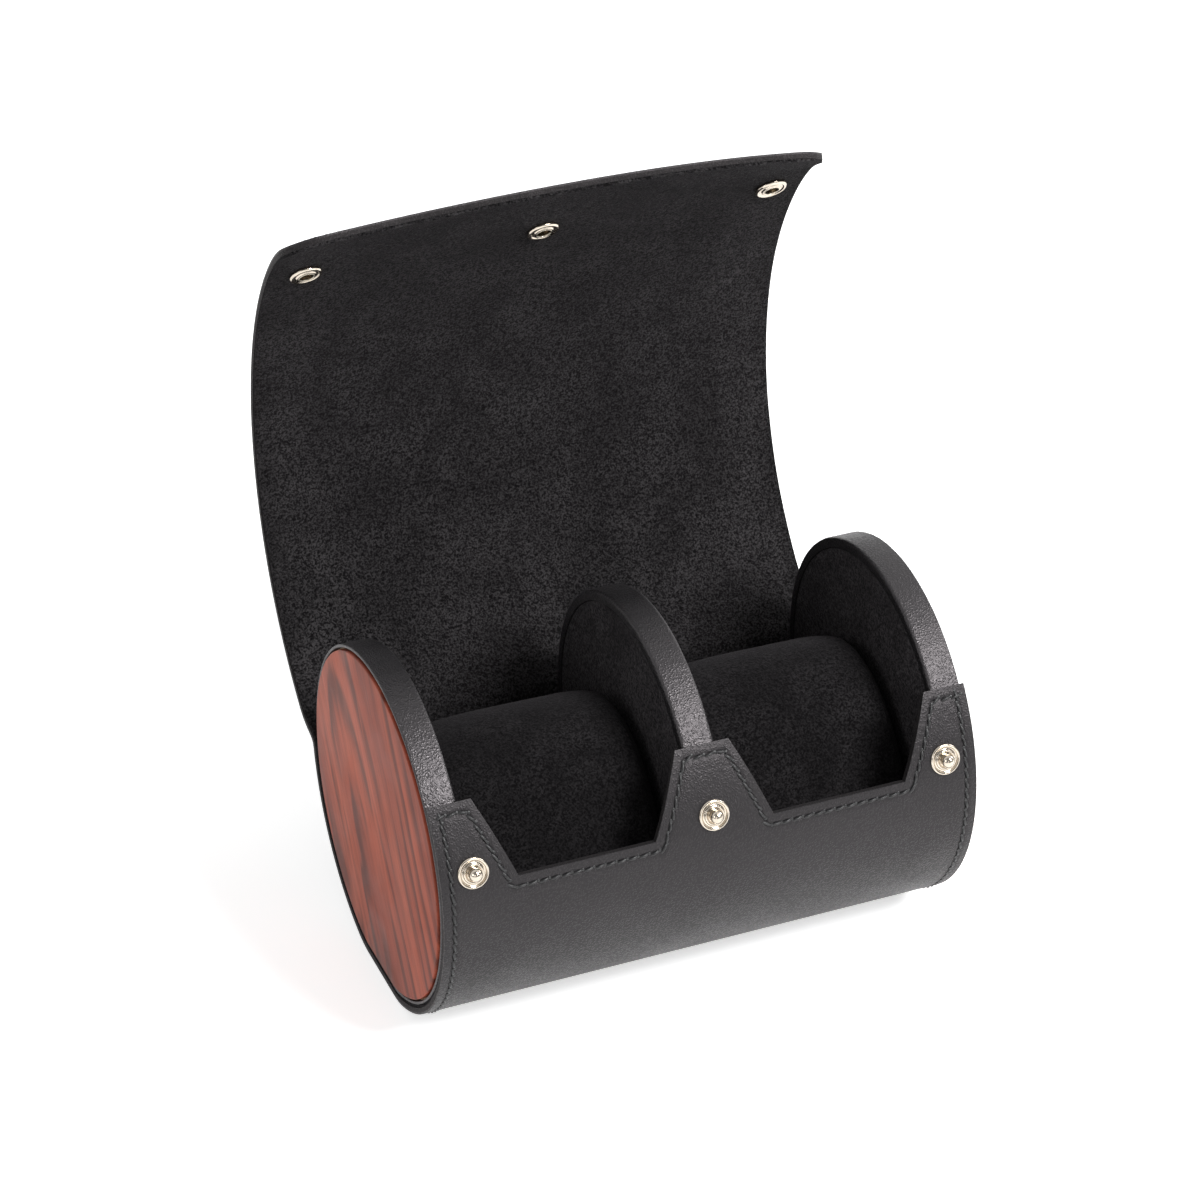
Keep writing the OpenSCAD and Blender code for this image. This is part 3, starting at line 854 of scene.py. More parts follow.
def rounded_profile(points: Sequence[tuple[float, float, float]], steps: int = 6) -> Profile:
    """Rounds the corners of a turned profile.

    Args:
        points: Radius, height and corner rounding of each point of an open line.
        steps: Steps in each rounded corner.

    Returns:
        The line's points, with arcs in its corners.
    """
    line: Profile = []
    last = len(points) - 1
    for k, (x, y, r) in enumerate(points):
        if k in (0, last) or r <= 0:
            line.append((x, y))
            continue
        here = np.array((x, y))
        before = np.array(points[k - 1][:2]) - here
        after = np.array(points[k + 1][:2]) - here
        a, b = np.linalg.norm(before), np.linalg.norm(after)
        u, v = before / a, after / b
        half = math.acos(max(-1.0, min(1.0, float(u @ v)))) / 2
        reach = min(r / math.tan(half), a * 0.49, b * 0.49)
        for i in range(steps + 1):
            t = i / steps
            p = (1 - t) ** 2 * (here + u * reach) + 2 * t * (1 - t) * here + t ** 2 * (here + v * reach)
            line.append((float(p[0]), float(p[1])))
    return line


def bridge(rows: Sequence[Sequence[int]], closed: bool = False) -> list[list[int]]:
    """Makes the faces between rings of points.

    Args:
        rows: The points of each ring, or the one point of a pole.
        closed: Whether the last ring joins the first.

    Returns:
        The faces.
    """
    faces: list[list[int]] = []
    pairs = list(zip(rows, rows[1:]))
    if closed:
        pairs.append((rows[-1], rows[0]))
    for low, high in pairs:
        sides = max(len(low), len(high))
        for k in range(sides):
            n = (k + 1) % sides
            if len(low) == 1:
                faces.append([low[0], high[n], high[k]])
            elif len(high) == 1:
                faces.append([low[k], low[n], high[0]])
            else:
                faces.append([low[k], low[n], high[n], high[k]])
    return faces


def turned(name: str, profile: Profile, place: Place, material: bpy.types.Material, sides: int,
           closed: bool = False) -> bpy.types.Object:
    """Turns a profile about its axis and puts it in place.

    Args:
        name: The object's name.
        profile: Radius and height of each point, from one end of the line to the other.
        place: Maps N by 3 points (across, across, height) to the case's millimetres.
        material: Its finish.
        sides: Faces round the axis.
        closed: Whether the profile is a loop that doesn't touch the axis.

    Returns:
        The object, its faces outwards.
    """
    points: list[tuple[float, float, float]] = []
    rows: list[list[int]] = []
    for r, h in profile:
        if r < TINY:
            rows.append([len(points)])
            points.append((0.0, 0.0, h))
            continue
        rows.append(list(range(len(points), len(points) + sides)))
        for k in range(sides):
            a = 2 * math.pi * k / sides
            points.append((r * math.cos(a), r * math.sin(a), h))
    obj = mesh_object(name, place(np.array(points)), bridge(rows, closed), material)
    recalculate(obj)
    return obj


def join_meshes(name: str, parts: Sequence[bpy.types.Object]) -> bpy.types.Object:
    """Joins several objects' meshes into one object.

    Args:
        name: The new object's name.
        parts: The objects, which are removed.

    Returns:
        The joined object.
    """
    bm = bmesh.new()
    for part in parts:
        bm.from_mesh(part.data)
    mesh = bpy.data.meshes.new(name)
    bm.to_mesh(mesh)
    bm.free()
    mesh.materials.append(parts[0].data.materials[0])
    for part in parts:
        bpy.data.objects.remove(part)
    return add_object(name, mesh)


def seat(obj: bpy.types.Object, body: str, slot: str, *nodes: str) -> None:
    """Sets a finished piece on its body and hides the nodes it stands for.

    Args:
        obj: The piece.
        body: The body that it rides on.
        slot: Not used.
        nodes: The frame's nodes that it stands for.
    """
    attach(obj, body)
    if nodes:
        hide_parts(*nodes)
    log.info("%s rides on %s", obj.name, body)


def standing(foot: np.ndarray, up: np.ndarray, out: np.ndarray) -> Place:
    """Gives the map from a turned piece to the place where it stands.

    Args:
        foot: Where its foot stands, in the case's millimetres.
        up: The direction across it, square to the roll.
        out: The direction in which it points.

    Returns:
        The map.
    """
    along = np.array((1.0, 0.0, 0.0))

    def place(points: np.ndarray) -> np.ndarray:
        """Maps points (across, across, height) to the case's millimetres."""
        return foot + points[:, :1] * along + points[:, 1:2] * up + points[:, 2:] * out
    return place


# ---------------------------------------------------------------- the sheet's run


def on_flap(sizes: CaseSizes, run: "SheetRun", x: float, depth: float, way: int) -> Place:
    """Gives the map from a turned piece to its place at a snap on the flap's end.

    Args:
        sizes: The case's sizes.
        run: The sheet's line.
        x: The snap's place along the roll.
        depth: Distance of the piece's foot out from the lining's face.
        way: 1 when the piece points away from the roll, -1 when it points in.

    Returns:
        The map.
    """
    a = run.first + math.radians(sizes.flap_curl) - sizes.snap_edge / sizes.flap_r
    out = np.array((0.0, math.cos(a), math.sin(a)))
    up = np.array((0.0, -math.sin(a), math.cos(a)))
    foot = np.array((x, *run.centre)) + np.array((0, 0, sizes.axis_z)) + out * (sizes.flap_r + depth)
    return standing(foot, up, out * way)


class SheetRun:
    """The lining's line from the tabs' tops under the roll, over the fold and along the open flap."""

    STEP = 0.2
    SOFT_REACH = 3.2
    CHUNK = 4000

    def __init__(self, sizes: CaseSizes) -> None:
        """Draws the line and softens its corners.

        Args:
            sizes: The case's sizes.
        """
        self.sizes = sizes
        self.points = self._soften(self._raw_line())
        steps = np.linalg.norm(np.diff(self.points, axis=0), axis=1)
        self.s = np.concatenate([[0.0], np.cumsum(steps)])
        heading = np.gradient(self.points, self.s, axis=0)
        heading /= np.linalg.norm(heading, axis=1)[:, None]
        self.heading = heading
        self.out = np.stack([heading[:, 1], -heading[:, 0]], axis=1)
        self.length = float(self.s[-1])
        self.fold_s = float(self.s[np.argmin(np.linalg.norm(self.points - np.array(sizes.fold), axis=1))])

    def _raw_line(self) -> np.ndarray:
        """Draws the line with its corners sharp.

        Returns:
            Points (y, z) about the discs' centres, evenly spaced.
        """
        z = self.sizes
        r, low = z.disc_r, z.disc_r - z.base_flat
        half = math.sqrt(r * r - low * low)
        line: list[np.ndarray] = []
        start, down = math.radians(180 - z.tab_angle), math.radians(270) - math.acos(low / r)
        for a in np.arange(start, down, self.STEP / r):
            line.append(np.array((r * math.cos(a), r * math.sin(a))))
        for y in np.arange(-half, half + z.spine_ease, self.STEP):
            line.append(np.array((y, -low)))
        back, end = math.radians(270) + math.acos(low / r), math.radians(360 + z.hinge_angle)
        for a in np.arange(back, end, self.STEP / r):
            line.append(np.array((z.spine_ease + r * math.cos(a), r * math.sin(a))))
        fold = np.array(z.fold)
        h, big = math.radians(z.flap_heading), z.flap_r
        centre = fold + big * np.array((-math.sin(h), math.cos(h)))
        first = h - math.pi / 2
        for a in np.linspace(first, first + math.radians(z.flap_curl), int(z.flap_len / self.STEP) + 1):
            line.append(centre + big * np.array((math.cos(a), math.sin(a))))
        self.centre, self.first = centre, first
        return np.array(line)

    def _soften(self, raw: np.ndarray) -> np.ndarray:
        """Rounds the line's corners with a running mean that leaves its ends in place.

        Args:
            raw: The sharp line.

        Returns:
            The softened line.
        """
        reach = int(self.SOFT_REACH / self.STEP)
        total = np.cumsum(np.vstack([np.zeros((1, 2)), raw]), axis=0)
        soft = raw.copy()
        for k in range(1, len(raw) - 1):
            w = min(reach, k, len(raw) - 1 - k)
            soft[k] = (total[k + w + 1] - total[k - w]) / (2 * w + 1)
        return soft

    def at(self, s: np.ndarray, depth: np.ndarray | float = 0.0) -> np.ndarray:
        """Gives the place at a distance along the line and a depth outwards.

        Args:
            s: Distances along the line.
            depth: How far outwards from the lining.

        Returns:
            N by 2 points (y, z), in the case's frame.
        """
        s = np.asarray(s, float)
        base = np.stack([np.interp(s, self.s, self.points[:, k]) for k in (0, 1)], axis=-1)
        out = self.out_at(s)
        placed = base + out * np.asarray(depth)[..., None]
        placed[..., 1] += self.sizes.axis_z
        return placed

    def out_at(self, s: np.ndarray) -> np.ndarray:
        """Gives the outward direction (y, z) at distances along the line."""
        out = np.stack([np.interp(s, self.s, self.out[:, k]) for k in (0, 1)], axis=-1)
        return out / np.linalg.norm(out, axis=-1, keepdims=True)

    def along(self, points: np.ndarray) -> tuple[np.ndarray, np.ndarray]:
        """Finds where points lie along the line.

        Args:
            points: N by 3 points in the case's millimetres.

        Returns:
            Their distances along the line and their depths outwards.
        """
        flat = points[:, 1:] - np.array((0.0, self.sizes.axis_z))
        samples = self.points + self.out * (self.sizes.wrap_t / 2)
        s, depth = np.empty(len(flat)), np.empty(len(flat))
        for k in range(0, len(flat), self.CHUNK):
            part = flat[k:k + self.CHUNK]
            gap = part[:, None, :] - samples[None, :, :]
            near = np.argmin((gap ** 2).sum(axis=2), axis=1)
            delta = part - self.points[near]
            s[k:k + self.CHUNK] = self.s[near] + (delta * self.heading[near]).sum(axis=1)
            depth[k:k + self.CHUNK] = (delta * self.out[near]).sum(axis=1)
        return s, depth

    def flap_s(self, curl: float) -> float:
        """Gives the distance along the line where the flap has curled by an angle.

        Args:
            curl: The angle in degrees.

        Returns:
            The distance in millimetres.
        """
        a = self.first + math.radians(curl)
        spot = self.centre + self.sizes.flap_r * np.array((math.cos(a), math.sin(a)))
        return float(self.s[np.argmin(np.linalg.norm(self.points - spot, axis=1))])


@dataclass(frozen=True)
class Seam:
    """A sewn line on the flat pattern, as points (x, s)."""

    points: tuple[tuple[float, float], ...]

    def distance(self, x: np.ndarray, s: np.ndarray) -> np.ndarray:
        """Gives the distance of pattern points from the seam.

        Args:
            x: Places along the roll.
            s: Places along the sheet's run.

        Returns:
            The distances in millimetres.
        """
        best = np.full(len(x), np.inf)
        spots = np.stack([x, s], axis=1)
        for a, b in zip(self.points, self.points[1:]):
            a2, b2 = np.array(a), np.array(b)
            d = b2 - a2
            t = np.clip(((spots - a2) @ d) / (d @ d), 0, 1)
            best = np.minimum(best, np.linalg.norm(spots - a2 - t[:, None] * d, axis=1))
        return best


class Pattern:
    """The flat pattern of the leather: its edges, its scallops and its seams."""

    EDGE_STEPS = (0.0, 0.45, 0.9, 1.4, 1.9, 2.3, 2.6, 2.9, 3.2, 3.6, 4.2)
    SEAM_MARGIN = 2.8
    EASE_BEFORE, EASE_OVER = 5.0, 14.0
    SEAM_STEP = 4.0

    def __init__(self, sizes: CaseSizes, run: SheetRun) -> None:
        """Works out the pattern's corners and seams.

        Args:
            sizes: The case's sizes.
            run: The sheet's run.
        """
        self.sizes, self.run = sizes, run
        self.low_s = math.radians(sizes.tab_angle - sizes.scallop_angle) * sizes.disc_r
        self.high = sizes.scallop_w / 2 + sizes.scallop_flare
        self.low = sizes.scallop_w / 2
        self.seams = self._seams()

    def half_width(self, s: np.ndarray) -> np.ndarray:
        """Gives half the sheet's width: the wrap's, the flap's past the fold, and its round corners.

        Args:
            s: Distances along the run.

        Returns:
            Half the width at each, in millimetres.
        """
        z, run = self.sizes, self.run
        t = np.clip((s - (run.fold_s - self.EASE_BEFORE)) / self.EASE_OVER, 0, 1)
        half = z.body_w / 2 + z.overhang * t * t * (3 - 2 * t)
        into = np.clip(z.corner_r - (run.length - s), 0, z.corner_r)
        return half - (z.corner_r - np.sqrt(np.maximum(z.corner_r ** 2 - into ** 2, 0)))

    def _seams(self) -> list[Seam]:
        """Draws the seams: round the tabs and scallops, down both sides and round the flap's end.

        Returns:
            The seams.
        """
        z, m = self.sizes, self.SEAM_MARGIN
        slope = math.atan2(self.high - self.low, self.low_s)
        aside = m / math.cos(slope)
        top = self.high + aside - m * math.tan(slope)
        low, bottom = self.low + aside - m * math.tan(slope), self.low_s + m
        half = z.body_w / 2 - m
        front = [(-half, m)]
        for side in (-z.bay_x, z.bay_x):
            front += [(side - top, m), (side - low, bottom), (side + low, bottom), (side + top, m)]
        front.append((half, m))
        down = np.arange(m, self.run.length - z.corner_r, self.SEAM_STEP)
        left = [(-(float(self.half_width(np.array([s]))[0]) - m), float(s)) for s in down]
        r = z.corner_r - m
        end = self.run.length - m
        wide = z.body_w / 2 + z.overhang - m
        corner = [(-(wide - r + r * math.cos(a)), end - r + r * math.sin(a))
                  for a in np.linspace(0, math.pi / 2, 9)]
        loop = left + corner + [(-x, s) for x, s in reversed(corner)] + [(-x, s) for x, s in reversed(left)]
        return [Seam(tuple(front)), Seam(tuple(loop))]


class FlatGrid:
    """A grid of quads over the flat pattern, finer along its edges and seams."""

    PANEL_STEP, SHEET_STEP, FOLD_STEP, LEAST_STEP = 1.2, 1.5, 0.5, 0.12
    FOLD_REACH = 8.0
    END_REACH = 12.0
    CORNER_ROWS = 19
    CUT_STEP, CUT_CLEAR = 0.25, 0.35
    # Each group between two edges of the panel's outline: its number, whether its columns are
    # finer along the left and the right edge, and its columns in between
    COLUMNS = ((0, (True, True), 5), (1, (False, False), 12), (2, (True, True), 6),
               (3, (False, False), 12), (4, (True, True), 5))

    def __init__(self, pattern: Pattern, inset: float) -> None:
        """Lays the rows and columns.

        Args:
            pattern: The flat pattern.
            inset: How far the grid stays in from the pattern's edges.
        """
        self.pattern, self.inset = pattern, inset
        self.x: list[float] = []
        self.s: list[float] = []
        self.faces: list[list[int]] = []
        self._lay()

    def _rows(self) -> list[float]:
        """Spaces the rows.

        Returns:
            Distances along the run, in order.
        """
        p, run = self.pattern, self.pattern.run
        steps = np.array(p.EDGE_STEPS)
        top, low, end = self.inset, self.low_row, run.length - self.inset
        before, past = run.fold_s - self.FOLD_REACH, run.fold_s + self.FOLD_REACH
        marks = list(top + steps) + list(low + steps)
        marks += list(np.arange(top + 5.2, low - 0.5, self.PANEL_STEP))
        marks += list(np.arange(low + 5.4, before, self.SHEET_STEP))
        marks += list(np.arange(before, past, self.FOLD_STEP))
        marks += list(np.arange(past, end - self.END_REACH, self.SHEET_STEP))
        r = p.sizes.corner_r - self.inset
        marks += list(end - r + r * np.sin(np.linspace(0, math.pi / 2, self.CORNER_ROWS)))
        for cut in SheetCuts(run).places:
            marks = [m for m in marks if abs(m - cut) > self.CUT_CLEAR]
            marks += [cut - self.CUT_STEP, cut, cut + self.CUT_STEP]
        rows: list[float] = []
        for m in sorted(marks):
            if not rows or m - rows[-1] > self.LEAST_STEP:
                rows.append(float(m))
        if self.low_row not in rows:
            rows = sorted([m for m in rows if abs(m - self.low_row) > 0.2] + [self.low_row])
        return rows

    @property
    def low_row(self) -> float:
        """The row along the scallops' bottoms."""
        return self.pattern.low_s + self.inset

    def _columns(self, left: float, right: float, ease: tuple[bool, bool], count: int) -> np.ndarray:
        """Spaces a group's columns between its two edges.

        Args:
            left: The left edge.
            right: The right edge.
            ease: Whether the columns are finer along the left and the right edge.
            count: Columns in between.

        Returns:
            Their places along the roll.
        """
        steps = np.array(self.pattern.EDGE_STEPS)
        a = left + steps if ease[0] else np.array([left])
        b = (right - steps)[::-1] if ease[1] else np.array([right])
        middle = np.linspace(a[-1], b[0], count + 2)[1:-1]
        return np.concatenate([a, middle, b])

    def _lay(self) -> None:
        """Lays the points and faces, group by group, sharing the groups' edges."""
        p, z = self.pattern, self.pattern.sizes
        index: dict[tuple[int, float], int] = {}
        slope = (p.high - p.low) / p.low_s

        def point(row: int, x: float, s: float) -> int:
            """Finds or adds a point.

            Args:
                row: Its row.
                x: Its place along the roll.
                s: Its distance along the run.

            Returns:
                Its number.
            """
            key = (row, round(x, 4))
            if key not in index:
                index[key] = len(self.x)
                self.x.append(x)
                self.s.append(s)
            return index[key]

        previous: list[list[int] | None] = [None] * len(self.COLUMNS)
        for row, s in enumerate(self._rows()):
            half = self._edge(s)
            rise = max(0.0, self.low_row - s) * slope
            reach = p.low + rise + self.inset * math.hypot(1, slope)
            edges = (-half, -z.bay_x - reach, -z.bay_x + reach, z.bay_x - reach, z.bay_x + reach, half)
            for g, ease, count in self.COLUMNS:
                # Above their bottoms the scallops, groups 1 and 3, are open
                if g in (1, 3) and s < self.low_row - TINY:
                    continue
                xs = self._columns(edges[g], edges[g + 1], ease, count)
                here = [point(row, float(x), s) for x in xs]
                before = previous[g]
                if before is not None:
                    for k in range(len(here) - 1):
                        self.faces.append([before[k], here[k], here[k + 1], before[k + 1]])
                previous[g] = here

    def _edge(self, s: float) -> float:
        """Gives half the grid's width at a distance along the run.

        Args:
            s: The distance.

        Returns:
            Half the width in millimetres.
        """
        p = self.pattern
        half = float(p.half_width(np.array([min(s, p.run.length - p.sizes.corner_r)]))[0]) - self.inset
        r = p.sizes.corner_r - self.inset
        end = p.run.length - self.inset
        into = min(max(s - (end - r), 0.0), r)
        return half - (r - math.sqrt(max(r * r - into * into, 0.0)))


@dataclass(frozen=True)
class SheetCut:
    """One piece of the sheet between two cuts, and the bodies it bends between."""

    label: str
    low: float
    high: float
    bodies: tuple[str, ...]
    bend: tuple[float, float]
    nodes: tuple[int, ...]


class SheetCuts:
    """Where the sheet is cut, and which bodies each piece follows."""

    FOLD_BEFORE, FOLD_PAST = 4.0, 7.0
    LAST_REACH = 4.6

    def __init__(self, run: SheetRun) -> None:
        """Works out the cuts.

        Args:
            run: The sheet's run.
        """
        n = run.sizes.stretches
        start, end = run.fold_s - self.FOLD_BEFORE, run.fold_s + self.FOLD_PAST
        ends = run.sizes.stretch_ends
        mids = [run.flap_s((a + b) / 2) for a, b in zip(ends[:-2], ends[1:])]
        last, reach = run.flap_s(ends[-2]), self.LAST_REACH
        mids.append(last + reach)
        case = Body.CASE.value
        self.pieces = [SheetCut("wrap", -math.inf, start, (case,), (0, 0), ()),
                       SheetCut("fold", start, mids[0], (case, "flap_1"), (start, end), (1,))]
        for k in range(n - 1):
            bend = (mids[k], mids[k + 1]) if k < n - 2 else (last - reach, last + reach)
            self.pieces.append(SheetCut(f"bend_{k + 2}", mids[k], mids[k + 1],
                                        (f"flap_{k + 1}", f"flap_{k + 2}"), bend, (k + 2,)))
        self.pieces.append(SheetCut("end", mids[-1], math.inf, (Body.LAST_STRETCH.value,), (0, 0), ()))
        self.places = [start, *mids]


class Sheet:
    """The leather, the lining and the stitches of the wrap and the flap."""

    GROOVE_W = 0.5
    RIDGE_SHARE, RIDGE_AT, RIDGE_W = 0.25, 1.3, 0.7
    PUNCH_REACH = 3.0
    BOW_BEFORE = 7.0
    EDGE_BOW, CORNER_CURL, RIGHT_CURL = 1.7, 0.7, 1.6
    INNER_DEPTH = 0.35
    THREAD_SINK = 0.04
    SUNK, SUNK_BELOW = 0.46, 0.8
    SEAM_STEP, LEAST_POINTS = 0.4, 8

    def __init__(self, sizes: CaseSizes, finishes: Finishes) -> None:
        """Draws the run, the pattern and the cuts.

        Args:
            sizes: The case's sizes.
            finishes: Its finishes.
        """
        self.sizes, self.finishes = sizes, finishes
        self.run = SheetRun(sizes)
        self.pattern = Pattern(sizes, self.run)
        self.cuts = SheetCuts(self.run)

    def build(self) -> None:
        """Builds and seats every piece of the sheet."""
        leather = self._skin("leather", self.finishes.wrap, inset=0.0, depth=self.sizes.wrap_t,
                             thickness=1.75, rounding=0.72, groove=0.24)
        lining = self._skin("lining", self.finishes.lining, inset=0.30, depth=1.2, thickness=1.2,
                            rounding=0.5, nap=0.12)
        self._cut(leather, "leather", "leather_body", "flap_leather_{}", "flap_board_{}")
        self._cut(lining, "lining", "suede_lining", "flap_lining_{}")
        self._sew()

    def _skin(self, name: str, material: bpy.types.Material, inset: float, depth: float, thickness: float,
              rounding: float, groove: float = 0.0, nap: float = 0.0) -> bpy.types.Object:
        """Makes one skin of the sheet as a closed form with rounded edges.

        Args:
            name: The object's name.
            material: Its finish.
            inset: How far it stays in from the sheet's edges.
            depth: Depth of its outer face.
            thickness: Its thickness, inwards from that face.
            rounding: Radius of its edges.
            groove: How deep the seams pull it in.
            nap: How uneven its inner face is.

        Returns:
            The object.
        """
        grid = FlatGrid(self.pattern, inset)
        x, s = np.array(grid.x), np.array(grid.s)
        level = np.full(len(x), depth)
        if groove:
            gap = np.minimum.reduce([seam.distance(x, s) for seam in self.pattern.seams])
            ridge = self.RIDGE_SHARE * np.exp(-((gap - self.RIDGE_AT) / self.RIDGE_W) ** 2)
            level -= groove * (np.exp(-(gap / self.GROOVE_W) ** 2) - ridge)
        yz = self.run.at(s, level + self._bow(x, s))
        obj = mesh_object(name, np.column_stack([x, yz]), grid.faces, material)
        self._face_out(obj)
        solidify = obj.modifiers.new("thick", "SOLIDIFY")
        solidify.thickness = thickness * MM
        solidify.offset = -1.0
        bevel = obj.modifiers.new("round", "BEVEL")
        bevel.width = rounding * MM
        bevel.segments = 4
        bevel.limit_method = "ANGLE"
        bevel.angle_limit = math.radians(50)
        bake_modifiers(obj)
        self._punch(obj)
        if nap:
            self._ruffle(obj, nap)
        return obj

    def _punch(self, obj: bpy.types.Object) -> None:
        """Punches the holes for the snaps' shanks, into which the studs' balls go.

        Args:
            obj: A whole skin.
        """
        z = self.sizes
        low, high = -self.PUNCH_REACH, z.wrap_t + self.PUNCH_REACH
        profile = [(0.0, low), (z.shank_hole_r, low), (z.shank_hole_r, high), (0.0, high)]
        for k, x in enumerate(z.snap_xs):
            cutter = turned(f"punch_{k}", profile, on_flap(z, self.run, x, 0.0, 1), obj.data.materials[0], 24)
            hole = obj.modifiers.new("hole", "BOOLEAN")
            hole.operation = "DIFFERENCE"
            hole.solver = "EXACT"
            hole.object = cutter
            bake_modifiers(obj)
            bpy.data.objects.remove(cutter)

    def _bow(self, x: np.ndarray, s: np.ndarray) -> np.ndarray:
        """Gives how far the sheet stands out past the snaps: its free edge bows back, its corners curl in.

        Args:
            x: Places along the roll.
            s: Places along the sheet's run.

        Returns:
            Distances outwards.
        """
        start = self.run.length - self.sizes.snap_edge + self.BOW_BEFORE
        t = np.clip((s - start) / (self.run.length - start), 0, 1)
        across = x / (self.sizes.body_w / 2)
        right = np.clip(across, 0, 1.1)
        lift = self.EDGE_BOW * (1 - across ** 2) - self.CORNER_CURL * across ** 2 - self.RIGHT_CURL * right ** 3
        return t * t * (3 - 2 * t) * lift

    @staticmethod
    def _face_out(obj: bpy.types.Object) -> None:
        """Turns an open skin's faces away from the roll, judged at the front panel.

        Args:
            obj: The skin.
        """
        face = min(obj.data.polygons, key=lambda f: f.center.y)
        if face.normal.y > 0:
            obj.data.flip_normals()

    def _ruffle(self, obj: bpy.types.Object, height: float) -> None:
        """Lets the inner face lie a little unevenly, as glued suede does.

        Args:
            obj: The lining.
            height: How uneven it is.
        """
        points = mesh_points(obj)
        s, depth = self.run.along(points)
        for k, (p, d) in enumerate(zip(points, depth)):
            if d > self.INNER_DEPTH:
                continue
            lift = noise.noise(Vector((p[0] * 0.06, s[k] * 0.06, 3.0))) * height
            lift += noise.noise(Vector((p[0] * 0.35, s[k] * 0.35, 9.0))) * height * 0.35
            out = self.run.out_at(np.array([s[k]]))[0]
            points[k, 1] += out[0] * (lift + height)
            points[k, 2] += out[1] * (lift + height)
        set_points(obj, points)

    def _cut(self, whole: bpy.types.Object, kind: str, slot: str, *node_forms: str) -> None:
        """Cuts a skin into the pieces that follow the bodies, and seats them.

        Args:
            whole: The whole skin, which is removed.
            kind: What the pieces are called.
            slot: Not used.
            node_forms: Names of the nodes that the flap's pieces stand for.
        """
        points = mesh_points(whole)
        s, depth = self.run.along(points)
        lay = np.column_stack([points[:, 0], s, depth - self._bow(points[:, 0], s)])
        polygons = [tuple(p.vertices) for p in whole.data.polygons]
        middle = np.array([s[list(p)].mean() for p in polygons])
        for cut in self.cuts.pieces:
            chosen = [p for p, m in zip(polygons, middle) if cut.low <= m < cut.high]
            used = sorted({v for p in chosen for v in p})
            new = {v: k for k, v in enumerate(used)}
            obj = mesh_object(f"{kind}_{cut.label}", points[used], [[new[v] for v in p] for p in chosen],
                              whole.data.materials[0])
            set_lay(obj, lay[used])
            self._seat_cut(obj, cut)
            if cut.label == "wrap":
                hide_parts(*(("body_leather", "body_board") if kind == "leather" else ("body_lining",)))
            for i in cut.nodes:
                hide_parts(*(form.format(i) for form in node_forms))
        bpy.data.objects.remove(whole)

    def _seat_cut(self, obj: bpy.types.Object, cut: SheetCut) -> None:
        """Sets a piece of the sheet on its body, or, for a piece between two bodies, bakes its place into its
        mesh.

        Args:
            obj: The piece.
            cut: Its place on the sheet.
        """
        if len(cut.bodies) == 1:
            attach(obj, cut.bodies[0])
        else:
            ends = self.run.at(np.array(cut.bend), 0.0) * MM
            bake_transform(obj)
        log.info("%s follows %s", obj.name, " and ".join(cut.bodies))

    def _sew(self) -> None:
        """Sews the seams, with the stitches of each piece of the sheet in their own object."""
        stitcher = Stitcher(self.finishes.thread)
        for cut in self.cuts.pieces:
            lines: list[np.ndarray] = []
            outs: list[np.ndarray] = []
            for seam in self.pattern.seams:
                for line in self._seam_parts(seam, cut):
                    bow = self._bow(line[:, 0], line[:, 1])
                    out = self.run.out_at(line[:, 1])
                    yz = self.run.at(line[:, 1], self.sizes.wrap_t - self.THREAD_SINK + bow)
                    # Underneath the thread lies sunk in its groove, so that the case stands on its leather
                    yz -= out * self.SUNK * np.clip(1.0 - yz[:, 1:2] / self.SUNK_BELOW, 0, 1)
                    lines.append(np.column_stack([line[:, 0], yz]))
                    outs.append(np.column_stack([np.zeros(len(out)), out]))
            if not lines:
                continue
            obj = stitcher.sew(f"stitches_{cut.label}", lines, outs)
            self._seat_cut(obj, cut)

    def _seam_parts(self, seam: Seam, cut: SheetCut) -> list[np.ndarray]:
        """Finds the stretches of a seam that lie on one piece of the sheet.

        Args:
            seam: The seam.
            cut: The piece.

        Returns:
            Fine lines of (x, s).
        """
        fine: list[tuple[float, float]] = []
        for (x0, s0), (x1, s1) in zip(seam.points, seam.points[1:]):
            n = max(1, int(math.hypot(x1 - x0, s1 - s0) / self.SEAM_STEP))
            fine += [(x0 + (x1 - x0) * k / n, s0 + (s1 - s0) * k / n) for k in range(n)]
        fine.append(seam.points[-1])
        parts: list[list[tuple[float, float]]] = [[]]
        for x, s in fine:
            if cut.low <= s < cut.high:
                parts[-1].append((x, s))
            elif parts[-1]:
                parts.append([])
        return [np.array(p) for p in parts if len(p) > self.LEAST_POINTS]


